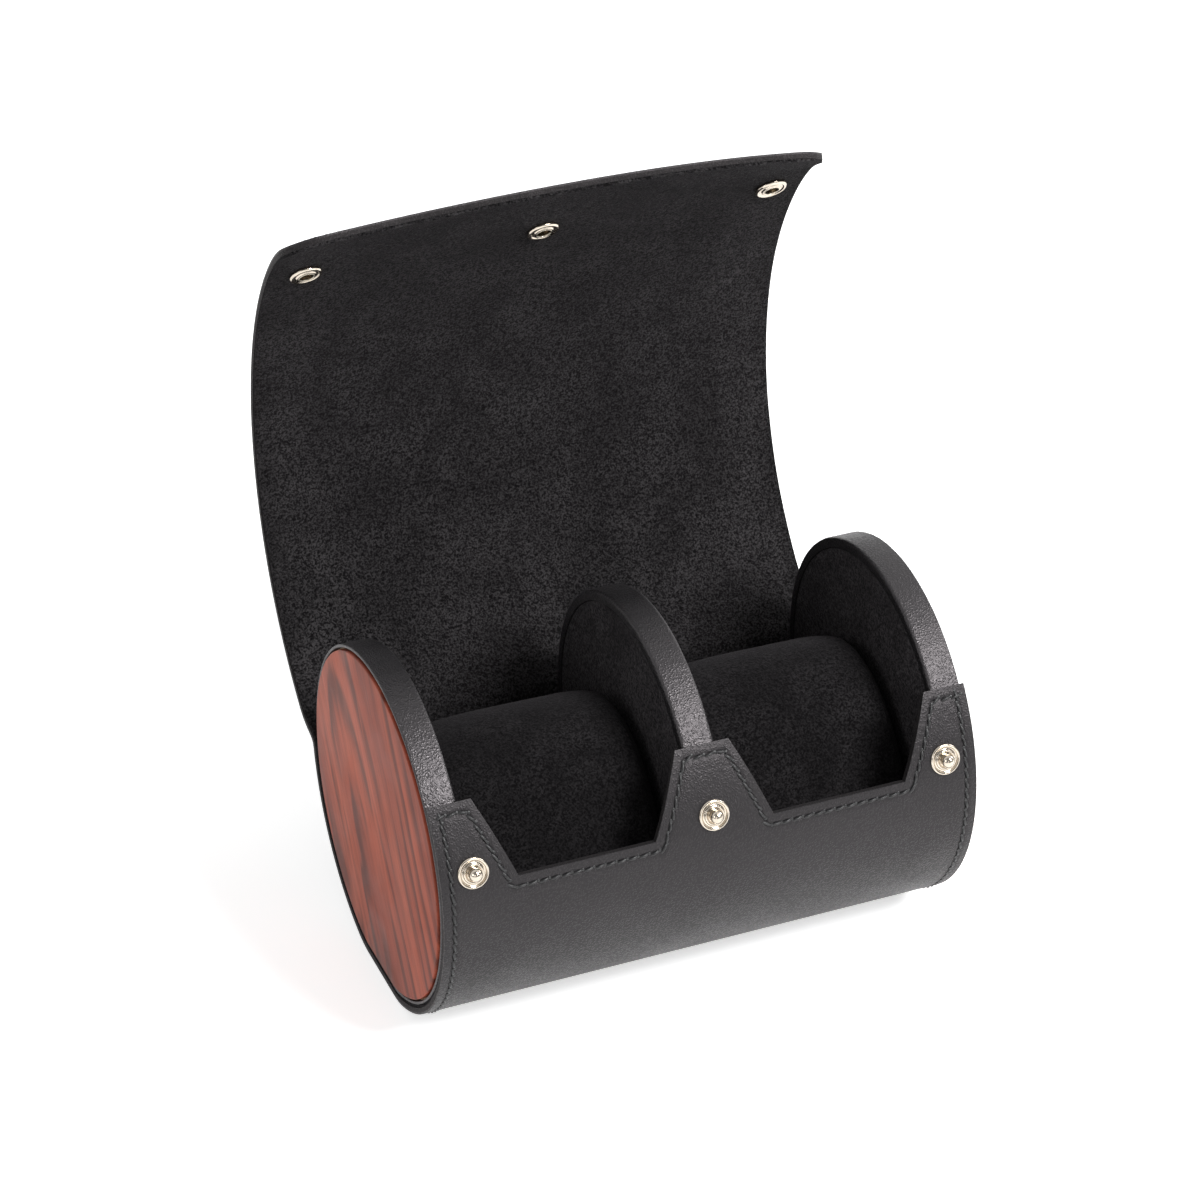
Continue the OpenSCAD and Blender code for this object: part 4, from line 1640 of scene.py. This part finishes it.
class Stitcher:
    """Geometry Nodes that lay slanted stitches along a seam."""

    # Shares of the thread's thickness
    DIP, RISE, HOLE, HOLE_UP = 0.42, 0.62, 0.62, 0.05

    def __init__(self, material: bpy.types.Material, pitch: float = 3.0, length: float = 2.5,
                 thickness: float = 0.80, slant: float = 13.0) -> None:
        """Builds the node tree once.

        Args:
            material: The thread's finish.
            pitch: Distance from stitch to stitch.
            length: Length of a stitch.
            thickness: Thickness of the thread.
            slant: How many degrees a stitch turns from the seam.
        """
        self.material = material
        self.values = {"Pitch": pitch * MM, "Length": length * MM, "Thickness": thickness * MM,
                       "Slant": math.radians(slant)}
        self.tree = self._tree()

    def _tree(self) -> bpy.types.NodeTree:
        """Builds the tree.

        Returns:
            The tree, with the seam's mesh in and the stitches out.
        """
        tree = bpy.data.node_groups.new("Stitched seam", "GeometryNodeTree")
        face = tree.interface
        face.new_socket(name="Geometry", in_out="INPUT", socket_type="NodeSocketGeometry")
        for name in self.values:
            face.new_socket(name=name, in_out="INPUT", socket_type="NodeSocketFloat")
        face.new_socket(name="Thread", in_out="INPUT", socket_type="NodeSocketMaterial")
        face.new_socket(name="Geometry", in_out="OUTPUT", socket_type="NodeSocketGeometry")
        s = NodeSheet(tree)
        i, o = s.add("NodeGroupInput"), s.add("NodeGroupOutput")
        curve = s.add("GeometryNodeMeshToCurve", {0: i.outputs["Geometry"]})
        spaced = s.add("GeometryNodeResampleCurve", {"Curve": curve.outputs[0]}, mode="LENGTH")
        tree.links.new(i.outputs["Pitch"], next(k for k in spaced.inputs if k.name == "Length"))
        out = s.add("GeometryNodeInputNamedAttribute", {"Name": "out"}, data_type="FLOAT_VECTOR")
        tangent = s.add("GeometryNodeInputTangent")
        turn = s.add("FunctionNodeAxesToRotation", {0: out.outputs[0], 1: tangent.outputs[0]},
                     primary_axis="Z", secondary_axis="X")
        # One stitch: an arched thread that dips into the leather at both ends
        half = s.math("MULTIPLY", i.outputs["Length"], 0.5)
        back = s.math("MULTIPLY", half, -1.0)
        dip = s.math("MULTIPLY", i.outputs["Thickness"], -self.DIP)
        rise = s.math("MULTIPLY", i.outputs["Thickness"], self.RISE)
        ends = [s.add("ShaderNodeCombineXYZ", {0: v, 2: h}) for v, h in ((back, dip), (0.0, rise), (half, dip))]
        arch = s.add("GeometryNodeCurveQuadraticBezier", {"Resolution": 6, "Start": ends[0].outputs[0],
                                                          "Middle": ends[1].outputs[0],
                                                          "End": ends[2].outputs[0]})
        ring = s.add("GeometryNodeCurvePrimitiveCircle", {
            "Resolution": 7, "Radius": s.math("MULTIPLY", i.outputs["Thickness"], 0.5)}, mode="RADIUS")
        thread = s.add("GeometryNodeCurveToMesh", {"Curve": arch.outputs[0], "Profile Curve": ring.outputs[0],
                                                   "Fill Caps": True})
        # Painted shade: a flattened dark disc of thread between the stitches stands for the shade in each stitch
        # hole.
        hole = s.add("GeometryNodeMeshUVSphere", {
            "Segments": 10, "Rings": 5, "Radius": s.math("MULTIPLY", i.outputs["Thickness"], self.HOLE)})
        between = s.add("ShaderNodeCombineXYZ", {0: s.math("MULTIPLY", i.outputs["Pitch"], 0.5),
                                                 2: s.math("MULTIPLY", i.outputs["Thickness"], self.HOLE_UP)})
        hole_shade = s.add("GeometryNodeTransform", {"Geometry": hole.outputs[0], "Scale": (1.0, 1.0, 0.3),
                                                 "Translation": between.outputs[0]})
        both = s.add("GeometryNodeJoinGeometry")
        tree.links.new(thread.outputs[0], both.inputs[0])
        tree.links.new(hole_shade.outputs[0], both.inputs[0])
        lean = s.add("ShaderNodeCombineXYZ", {2: i.outputs["Slant"]})
        slanted = s.add("GeometryNodeTransform", {"Geometry": both.outputs[0], "Rotation": lean.outputs[0]})
        laid = s.add("GeometryNodeInstanceOnPoints", {"Points": spaced.outputs[0], "Instance": slanted.outputs[0],
                                                      "Rotation": turn.outputs[0]})
        real = s.add("GeometryNodeRealizeInstances", {"Geometry": laid.outputs[0]})
        smooth = s.add("GeometryNodeSetShadeSmooth", {"Geometry": real.outputs[0], "Shade Smooth": True})
        dressed = s.add("GeometryNodeSetMaterial", {"Geometry": smooth.outputs[0],
                                                    "Material": i.outputs["Thread"]})
        s.feed(o, {0: dressed.outputs[0]})
        return tree

    def sew(self, name: str, lines: Sequence[np.ndarray], outs: Sequence[np.ndarray]) -> bpy.types.Object:
        """Lays stitches along lines.

        Args:
            name: The object's name.
            lines: Points of each line in millimetres.
            outs: The outward direction at each point.

        Returns:
            The stitches as one plain mesh.
        """
        points = np.concatenate(lines)
        edges: list[tuple[int, int]] = []
        start = 0
        for line in lines:
            edges += [(start + k, start + k + 1) for k in range(len(line) - 1)]
            start += len(line)
        mesh = bpy.data.meshes.new(name)
        mesh.from_pydata((points * MM).tolist(), edges, [])
        attribute = mesh.attributes.new("out", "FLOAT_VECTOR", "POINT")
        attribute.data.foreach_set("vector", np.concatenate(outs).ravel())
        mesh.materials.append(self.material)
        obj = add_object(name, mesh)
        modifier = obj.modifiers.new("stitches", "NODES")
        modifier.node_group = self.tree
        for item in self.tree.interface.items_tree:
            if item.item_type == "SOCKET" and item.in_out == "INPUT":
                if item.name in self.values:
                    modifier[item.identifier] = self.values[item.name]
                elif item.name == "Thread":
                    modifier[item.identifier] = self.material
        bake_modifiers(obj)
        if "out" in obj.data.attributes:
            obj.data.attributes.remove(obj.data.attributes["out"])
        return obj


# ---------------------------------------------------------------- discs


@dataclass
class Discs:
    """The two ends and the divider: leather rims, suede faces and wood inlays."""

    sizes: CaseSizes
    finishes: Finishes
    sides: int = 224
    face_ease: float = 0.3

    def build(self) -> None:
        """Builds and seats every disc's pieces."""
        z = self.sizes
        for side, label in ((-1, "left"), (1, "right")):
            rim = self._rim(f"{label}_end_leather", side, self._end_profile())
            seat(rim, Body.CASE.value, "leather_rim", f"{label}_end_rim")
            face = self._plate(f"{label}_end_face", side, z.end_in_x + 0.25, z.end_in_x + 1.0, -1)
            seat(face, Body.CASE.value, "suede_faces", f"{label}_end_suede")
            wood = self._wood(f"{label}_wood_face", side)
            seat(wood, Body.CASE.value, "wood_inlay", f"{label}_wood_inlay")
        rim = self._rim("divider_leather", 1, self._divider_profile())
        seat(rim, Body.CASE.value, "leather_rim", "divider_rim")
        for side, label in ((-1, "left"), (1, "right")):
            face = self._plate(f"divider_face_{label}", side, z.divider_t / 2 - 1.0, z.divider_t / 2 - 0.25, 1)
            seat(face, Body.CASE.value, "suede_faces", f"divider_suede_{label}")

    def _end_profile(self) -> Profile:
        """Draws an end rim's section: turned over the bay's face and folded in at the wood.

        Returns:
            The loop's points (radius, x).
        """
        z = self.sizes
        lip, out = z.disc_r - z.lip_w, z.body_w / 2 - 0.1
        return rounded_profile([
            (z.inlay_r + 0.55, out - 3.2, 0), (z.inlay_r + 0.5, out, 0.45), (z.disc_r, out, 0.7),
            (z.disc_r, z.end_in_x, 1.1), (lip, z.end_in_x, 0.5), (lip - 0.1, z.end_in_x + 0.9, 0),
            (z.disc_r - 1.6, z.end_in_x + 2.4, 0), (z.disc_r - 1.6, out - 3.6, 0)])

    def _divider_profile(self) -> Profile:
        """Draws the divider rim's section.

        Returns:
            The loop's points (radius, x).
        """
        z = self.sizes
        half, lip = z.divider_t / 2, z.disc_r - z.lip_w
        return rounded_profile([
            (lip - 0.1, -half + 0.9, 0), (lip, -half, 0.5), (z.disc_r, -half, 1.1), (z.disc_r, half, 1.1),
            (lip, half, 0.5), (lip - 0.1, half - 0.9, 0), (z.disc_r - 1.6, half - 2.4, 0),
            (z.disc_r - 1.6, -half + 2.4, 0)])

    def _place(self, side: int, clip: float) -> Place:
        """Gives the map from turned points to a disc's place, flattened underneath.

        Args:
            side: -1 for the left, 1 for the right.
            clip: How far below the centres the lowest point may lie.

        Returns:
            The map.
        """
        def place(points: np.ndarray) -> np.ndarray:
            """Maps points (across, across, height) to the case's millimetres."""
            low = np.maximum(points[:, 1], -clip)
            return np.column_stack([points[:, 2] * side, points[:, 0], low + self.sizes.axis_z])
        return place

    def _rim(self, name: str, side: int, profile: Profile) -> bpy.types.Object:
        """Turns a rim, with its surface lay stored for the grain.

        Args:
            name: The object's name.
            side: -1 for the left, 1 for the right.
            profile: Its section.

        Returns:
            The object.
        """
        z = self.sizes
        obj = turned(name, profile, self._place(side, z.disc_r - z.base_flat), self.finishes.rim, self.sides,
                     closed=True)
        points = mesh_points(obj)
        around = np.arctan2(points[:, 2] - z.axis_z, points[:, 1])
        radius = np.hypot(points[:, 1], points[:, 2] - z.axis_z)
        pull = 0.05 * np.sin(around * 23 + 2) * np.sin(around * 41) * (radius > z.disc_r - 0.2)
        points[:, 1] -= pull * np.cos(around)
        points[:, 2] -= np.where(points[:, 2] > z.axis_z - 40, pull * np.sin(around), 0)
        set_points(obj, points)
        set_lay(obj, points)
        return obj

    def _plate(self, name: str, side: int, low: float, high: float, facing: int) -> bpy.types.Object:
        """Turns a suede face.

        Args:
            name: The object's name.
            side: -1 for the left, 1 for the right.
            low: Where it starts along the roll.
            high: Where it ends.
            facing: -1 when its seen face is the low one, 1 for the high one.

        Returns:
            The object.
        """
        z = self.sizes
        r = z.disc_r - z.lip_w + 0.02
        low_ease, high_ease = (self.face_ease, 0) if facing < 0 else (0, self.face_ease)
        profile = rounded_profile([(0, low, 0), (r * 0.5, low, 0), (r, low, low_ease),
                                   (r, high, high_ease), (r * 0.5, high, 0), (0, high, 0)])
        obj = turned(name, profile, self._place(side, r - z.base_flat), self.finishes.disc_suede, self.sides)
        set_lay(obj, mesh_points(obj))
        return obj

    def _wood(self, name: str, side: int) -> bpy.types.Object:
        """Turns a wood inlay with a softly eased edge and a very slight crown.

        Args:
            name: The object's name.
            side: -1 for the left, 1 for the right.

        Returns:
            The object.
        """
        z = self.sizes
        out = z.end_face_x
        profile = rounded_profile([(0, out - 2.2, 0), (z.inlay_r, out - 2.2, 0.1), (z.inlay_r, out - 0.12, 0.5),
                                   (z.inlay_r * 0.6, out - 0.03, 3), (0, out, 0)], 8)
        return turned(name, profile, self._place(side, z.inlay_r - z.base_flat), self.finishes.wood, self.sides)


# ---------------------------------------------------------------- snaps


@dataclass
class Snaps:
    """The studs on the panel, the sockets on the flap's lining and the caps on its outside."""

    sizes: CaseSizes
    finishes: Finishes
    run: SheetRun
    sides: int = 72

    def build(self) -> None:
        """Builds and seats the snaps."""
        z, xs = self.sizes, self.sizes.snap_xs
        inside = [on_flap(z, self.run, x, 0.0, -1) for x in xs]
        outside = [on_flap(z, self.run, x, z.wrap_t, 1) for x in xs]
        self._turn_all("stud", Body.CASE, self._stud(), [self._on_panel(x) for x in xs])
        self._turn_all("socket", Body.LAST_STRETCH, self._socket(), inside, closed=True)
        self._turn_all("cap", Body.LAST_STRETCH, self._cap(), outside)

    def _turn_all(self, word: str, body: Body, profile: Profile, places: Sequence[Place],
                  closed: bool = False) -> None:
        """Turns three alike parts of the snaps and seats them as one piece.

        Args:
            word: What one of them is called.
            body: The body that they ride on.
            profile: Their section.
            places: Where they stand.
            closed: Whether the section is a loop.
        """
        parts = [turned(f"{word}_{k}", profile, place, self.finishes.nickel, self.sides, closed)
                 for k, place in enumerate(places)]
        seat(join_meshes(f"{word}s", parts), body.value, "nickel", f"snap_{word}s")

    def _on_panel(self, x: float) -> Place:
        """Gives the map from a turned stud to its place on the front panel.

        Args:
            x: The stud's place along the roll.

        Returns:
            The map.
        """
        z = self.sizes
        a = math.radians(180 - z.snap_angle)
        out = np.array((0.0, math.cos(a), math.sin(a)))
        up = np.array((0.0, math.sin(a), -math.cos(a)))
        return standing(np.array((x, 0.0, z.axis_z)) + out * z.wrap_r, up, out)

    @staticmethod
    def _stud() -> Profile:
        """Draws a stud's section: rolled rim, dished flange, raised ring, neck, ball and nub.

        Returns:
            The line's points (radius, height).
        """
        line = rounded_profile([
            (0.0, -0.2, 0), (4.1, -0.2, 0.1), (4.24, 0.22, 0.25), (4.0, 0.62, 0.3), (3.55, 0.55, 0.25),
            (3.25, 0.22, 0.3), (2.85, 0.28, 0.25), (2.6, 0.72, 0.3), (2.2, 0.70, 0.25), (1.85, 0.34, 0.2),
            (1.6, 0.36, 0.1), (1.47, 0.80, 0.1)], 5)
        centre, r = 1.85, 1.8
        ball = [(r * math.cos(a), centre + r * 0.92 * math.sin(a)) for a in np.linspace(-0.62, 1.12, 14)]
        nub = [(0.72, 3.42), (0.62, 3.5), (0.3, 3.55), (0.0, 3.56)]
        return line + ball + nub

    @staticmethod
    def _socket() -> Profile:
        """Draws a socket's section: shank, rolled outer ring, sunk land and raised lip round the hole.

        Returns:
            The loop's points (radius, height).
        """
        return rounded_profile([
            (2.42, -2.5, 0), (2.42, 0.0, 0), (4.35, 0.0, 0.2), (4.42, 0.75, 0.35), (4.0, 1.25, 0.4),
            (3.55, 1.12, 0.25),
            (3.2, 0.86, 0.2), (2.85, 0.92, 0.15), (2.6, 1.28, 0.25), (2.2, 1.32, 0.2), (2.05, 1.0, 0.2),
            (2.15, 0.6, 0.1), (2.15, -2.5, 0)], 4)

    @staticmethod
    def _cap() -> Profile:
        """Draws a cap's section: a low dome with a tucked edge.

        Returns:
            The line's points (radius, height).
        """
        dome = [(5.2 * math.cos(a), 0.12 + 0.95 * math.sin(a)) for a in np.linspace(0.12, math.pi / 2, 14)]
        dome[-1] = (0.0, 1.07)
        return [(0.0, -0.15), (4.6, -0.15), (5.0, -0.08), (5.17, 0.05)] + dome


# ---------------------------------------------------------------- pillows


@dataclass
class Pillows:
    """Two stuffed suede pillows with crowned, drawn-in ends and sewn seams."""

    sizes: CaseSizes
    finishes: Finishes
    seam_share: float = 0.1

    # The starting form: distance from an end, as a share of half the width, and share of the oval there
    STATIONS = ((0.0, 0.0), (0.0, 0.35), (0.012, 0.62), (0.04, 0.82), (0.085, 0.91), (0.1, 0.922),
                (0.13, 0.94), (0.2, 0.962), (0.4, 0.985), (0.7, 0.995), (1.0, 1.0))
    SIDES = 72
    SQUARENESS = 0.87
    SHY = 0.5
    VOXEL, QUICK_VOXEL = 3.0, 4.0
    PRESSURE = 4.0
    FRAMES = 20
    MOST_MOVE = 2.2
    OVAL_POWER = 2.3
    CREASE_DEPTH, CREASE_W = 0.9, 0.9
    PUCKER_DEPTH, PUCKER_AT, PUCKER_W = 0.16, 2.2, 2.0
    WAVE_DEPTH, SETTLED = 0.35, 0.3
    CALM_R = 20

    def build(self) -> None:
        """Builds one pillow, lets it fill out, and puts a copy in each bay."""
        first = self._shell("left_pillow_cover")
        self._fill_out(first)
        self._seam_lines(first)
        points = mesh_points(first)
        polygons = [tuple(p.vertices) for p in first.data.polygons]
        second = mesh_object("right_pillow_cover", points, polygons, self.finishes.pillow_suede)
        for obj, body, way in ((first, Body.LEFT_PILLOW, -1), (second, Body.RIGHT_PILLOW, 1)):
            set_points(obj, points + np.array((way * self.sizes.bay_x, 0, 0)))
            seat(obj, body.value, "suede_pillow", f"{body.value}_foam", f"{body.value}_band",
                 f"{body.value}_ends")

    def _axes(self) -> tuple[np.ndarray, np.ndarray, np.ndarray]:
        """Finds how the pillow lies.

        Returns:
            Its centre and the directions of its long and short ways, as (y, z).
        """
        z = self.sizes
        a = math.radians(z.pillow_lean)
        up = np.array((math.sin(a), math.cos(a)))
        out = np.array((-math.cos(a), math.sin(a)))
        return -up * (z.disc_r - z.pillow_gap - z.pillow_a), up, out

    def _shell(self, name: str) -> bpy.types.Object:
        """Makes the pillow's starting form, a little small, in the middle of the case.

        Args:
            name: The object's name.

        Returns:
            The object.
        """
        z = self.sizes
        half = z.bay_w / 2 - z.pillow_gap - self.SHY
        centre, up, out = self._axes()
        rows = [(-half * (1 - s), k) for s, k in self.STATIONS]
        rows += [(half * (1 - s), k) for s, k in self.STATIONS[-2::-1]]
        points: list[tuple[float, float, float]] = []
        index: list[list[int]] = []
        for x, k in rows:
            if k == 0:
                index.append([len(points)])
                points.append((x, centre[0], centre[1] + z.axis_z))
                continue
            index.append(list(range(len(points), len(points) + self.SIDES)))
            for j in range(self.SIDES):
                a = 2 * math.pi * j / self.SIDES
                across, along = math.cos(a), math.sin(a)
                u = math.copysign(abs(across) ** self.SQUARENESS, across) * (z.pillow_a - self.SHY) * k
                v = math.copysign(abs(along) ** self.SQUARENESS, along) * (z.pillow_b - self.SHY) * k
                yz = centre + up * u + out * v
                points.append((x, yz[0], yz[1] + z.axis_z))
        obj = mesh_object(name, np.array(points), bridge(index), self.finishes.pillow_suede)
        recalculate(obj)
        return obj

    def _fill_out(self, obj: bpy.types.Object) -> None:
        """Remeshes the form and lets cloth under pressure fill it, capped inside the bay.

        Args:
            obj: The pillow.
        """
        remesh = obj.modifiers.new("even", "REMESH")
        remesh.mode = "VOXEL"
        remesh.voxel_size = self.VOXEL * MM
        bake_modifiers(obj)
        points = mesh_points(obj)
        cloth = obj.modifiers.new("cloth", "CLOTH")
        cloth.settings.use_pressure = True
        cloth.settings.uniform_pressure_force = self.PRESSURE
        cloth.settings.effector_weights.gravity = 0.0
        cloth.settings.quality = 6
        scene = bpy.context.scene
        for f in range(1, self.FRAMES + 1):
            scene.frame_set(f)
        bake_modifiers(obj)
        scene.frame_set(1)
        move = mesh_points(obj) - points
        size = np.linalg.norm(move, axis=1, keepdims=True)
        points = points + move * np.minimum(1.0, self.MOST_MOVE / np.maximum(size, 1e-9))
        set_points(obj, self._held_in(points))
        smooth = obj.modifiers.new("fine", "SUBSURF")
        smooth.levels = smooth.render_levels = 1
        bake_modifiers(obj)
        set_points(obj, self._held_in(mesh_points(obj)))
        obj.data.polygons.foreach_set("use_smooth", [True] * len(obj.data.polygons))

    def _held_in(self, points: np.ndarray) -> np.ndarray:
        """Keeps points inside the bay's walls and the pillow's own oval.

        Args:
            points: N by 3 points in millimetres.

        Returns:
            The points, moved where they stood out.
        """
        z = self.sizes
        half = z.bay_w / 2 - z.pillow_gap
        points = points.copy()
        points[:, 0] = np.clip(points[:, 0], -half, half)
        centre, up, out = self._axes()
        flat = points[:, 1:] - centre - np.array((0, z.axis_z))
        u, v = flat @ up, flat @ out
        power = self.OVAL_POWER
        reach = (np.abs(u / z.pillow_a) ** power + np.abs(v / z.pillow_b) ** power) ** (1 / power)
        scale = np.where(reach > 1, 1 / np.maximum(reach, 1e-9), 1.0)
        flat = np.outer(u * scale, up) + np.outer(v * scale, out)
        points[:, 1:] = flat + centre + np.array((0, z.axis_z))
        return points

    def _seam_lines(self, obj: bpy.types.Object) -> None:
        """Draws the end seams in, with small puckers on both sides of them.

        Args:
            obj: The pillow.
        """
        z = self.sizes
        points = mesh_points(obj)
        centre, _, _ = self._axes()
        half = z.bay_w / 2 - z.pillow_gap
        seam = half * (1 - self.seam_share)
        middle = centre + np.array((0, z.axis_z))
        flat = points[:, 1:] - middle
        radius = np.linalg.norm(flat, axis=1, keepdims=True)
        around = np.arctan2(flat[:, 1], flat[:, 0])
        gap = np.abs(np.abs(points[:, 0]) - seam)
        crease = self.CREASE_DEPTH * np.exp(-(gap / self.CREASE_W) ** 2)
        pucker = self.PUCKER_DEPTH * np.exp(-((gap - self.PUCKER_AT) / self.PUCKER_W) ** 2)
        pucker *= np.sin(around * 58 + np.sin(around * 7) * 3)
        wave = np.array([noise.noise(Vector(p * 0.045)) for p in points]) * self.WAVE_DEPTH
        outer = radius[:, 0] > self.CALM_R
        inward = crease + pucker + wave * outer + self.SETTLED * outer
        points[:, 1:] -= flat / np.maximum(radius, 1e-6) * np.minimum(inward[:, None], radius * 0.5)
        set_points(obj, points)


# ---------------------------------------------------------------- hidden nodes, stage


@dataclass
class HiddenParts:
    """The frame's own nodes that stay: they get their finishes."""

    finishes: Finishes

    def build(self) -> None:
        """Gives each node that stays its finish."""
        f = self.finishes
        kinds = (("_core", f.core), ("snap_posts", f.rivet), ("snap_springs", f.spring), ("board", f.board),
                 ("_foam", f.foam), ("lining", f.lining), ("suede", f.disc_suede), ("leather", f.wrap),
                 ("rim", f.rim), ("inlay", f.wood), ("pillow", f.pillow_suede), ("snap", f.nickel))
        for name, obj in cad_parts.items():
            for word, material in kinds:
                if word in name:
                    obj.data.materials.clear()
                    obj.data.materials.append(material)
                    break


@dataclass
class Studio:
    """The pale floor, the soft lights and the camera."""

    camera_at: tuple[float, float, float] = (-342.1, -801.0, 648.1)
    azimuth: float = -22.43
    elevation: float = 32.17
    lens: float = 118.92
    sky: float = 0.42
    room: float = 0.22

    FLOOR_HALF, FLOOR_Z = 6.0, -0.0002
    FLOOR_GLOW, SEEN_GLOW = 0.50, 0.12
    AIM = (0.0, 0.02, 0.08)
    # Name, place, size and power of each soft light
    LIGHTS = (("key", (0.50, -0.80, 1.05), 0.55, 25.0), ("side", (1.3, 0.10, 0.75), 0.5, 6.0),
              ("fill", (-1.35, -0.7, 0.8), 0.8, 5.0))

    def build(self) -> None:
        """Sets up the floor, the lights, the world and the camera."""
        self._floor()
        self._lights()
        self._world()
        self._camera()
        bpy.context.scene.view_settings.view_transform = "Standard"

    def _floor(self) -> None:
        """Lays the pale floor, which shows white to the camera but keeps the shadow."""
        mesh = bpy.data.meshes.new("floor")
        r, z = self.FLOOR_HALF, self.FLOOR_Z
        mesh.from_pydata([(-r, -r, z), (r, -r, z), (r, r, z), (-r, r, z)], [], [(0, 1, 2, 3)])
        floor = add_object("floor", mesh)
        material, s, shader = start_material("Pale floor")
        s.feed(shader, {"Base Color": (0.83, 0.83, 0.83, 1), "Roughness": 0.9, "Specular IOR Level": 0.1})
        camera_ray, seen = s.seen()
        strength = s.math("ADD", s.math("MULTIPLY", camera_ray, self.SEEN_GLOW), self.FLOOR_GLOW)
        glow = s.add("ShaderNodeEmission", {"Color": (1, 1, 1, 1), "Strength": strength})
        both = s.add("ShaderNodeAddShader", {0: shader.outputs[0], 1: glow.outputs[0]})
        choose = s.add("ShaderNodeMixShader", {0: seen, 1: shader.outputs[0], 2: both.outputs[0]})
        out = next(n for n in material.node_tree.nodes if n.type == "OUTPUT_MATERIAL")
        s.feed(out, {"Surface": choose.outputs[0]})
        mesh.materials.append(material)

    def _lights(self) -> None:
        """Hangs the soft lights."""
        for name, at, size, power in self.LIGHTS:
            data = bpy.data.lights.new(name, "AREA")
            data.shape = "DISK"
            data.size = size
            data.energy = power
            lamp = add_object(name, data)
            lamp.location = at
            lamp.rotation_euler = (Vector(self.AIM) - Vector(at)).to_track_quat("-Z", "Y").to_euler()

    def _world(self) -> None:
        """Sets a white backdrop for the camera and a plain soft sky for the light."""
        world = bpy.data.worlds.new("studio")
        bpy.context.scene.world = world
        world.use_nodes = True
        world.node_tree.nodes.clear()
        s = NodeSheet(world.node_tree)
        camera_ray, seen = s.seen()
        # The room behind the camera is dim, so shiny things show it dark and the backdrop white
        facing = s.add("ShaderNodeSeparateXYZ", {0: s.add("ShaderNodeTexCoord").outputs["Generated"]})
        room = s.math("MULTIPLY", s.ramp(facing.outputs[1], 0.20, -0.25), s.ramp(facing.outputs[2], -0.02, 0.04))
        room = s.math("MULTIPLY", room, s.math("SUBTRACT", 1.0, camera_ray))
        white = s.math("SUBTRACT", 1.0, s.math("MULTIPLY", room, 1.0 - self.room))
        strength = s.math("ADD", s.math("MULTIPLY", seen, s.math("SUBTRACT", white, self.sky)), self.sky)
        back = s.add("ShaderNodeBackground", {"Color": (1, 1, 1, 1), "Strength": strength})
        s.add("ShaderNodeOutputWorld", {"Surface": back.outputs[0]})

    def _camera(self) -> None:
        """Places the camera where the photograph was taken from."""
        data = bpy.data.cameras.new("camera")
        data.lens = self.lens
        data.sensor_width = 36.0
        data.sensor_fit = "HORIZONTAL"
        data.clip_start, data.clip_end = 0.01, 50
        camera = add_object("camera", data)
        a, e = math.radians(self.azimuth), math.radians(self.elevation)
        back = Vector((math.sin(a) * math.cos(e), -math.cos(a) * math.cos(e), math.sin(e)))
        camera.location = Vector(self.camera_at) * MM
        camera.rotation_euler = back.to_track_quat("Z", "Y").to_euler()
        bpy.context.scene.camera = camera


def main() -> None:
    """Builds the whole case in order."""
    logging.basicConfig(level=logging.INFO, format="%(message)s")
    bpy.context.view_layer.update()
    finishes = Finishes()
    HiddenParts(finishes).build()
    sheet = Sheet(SIZES, finishes)
    sheet.build()
    Discs(SIZES, finishes).build()
    Snaps(SIZES, finishes, sheet.run).build()
    Pillows(SIZES, finishes).build()
    Studio().build()


if __name__ == "__main__":
    main()
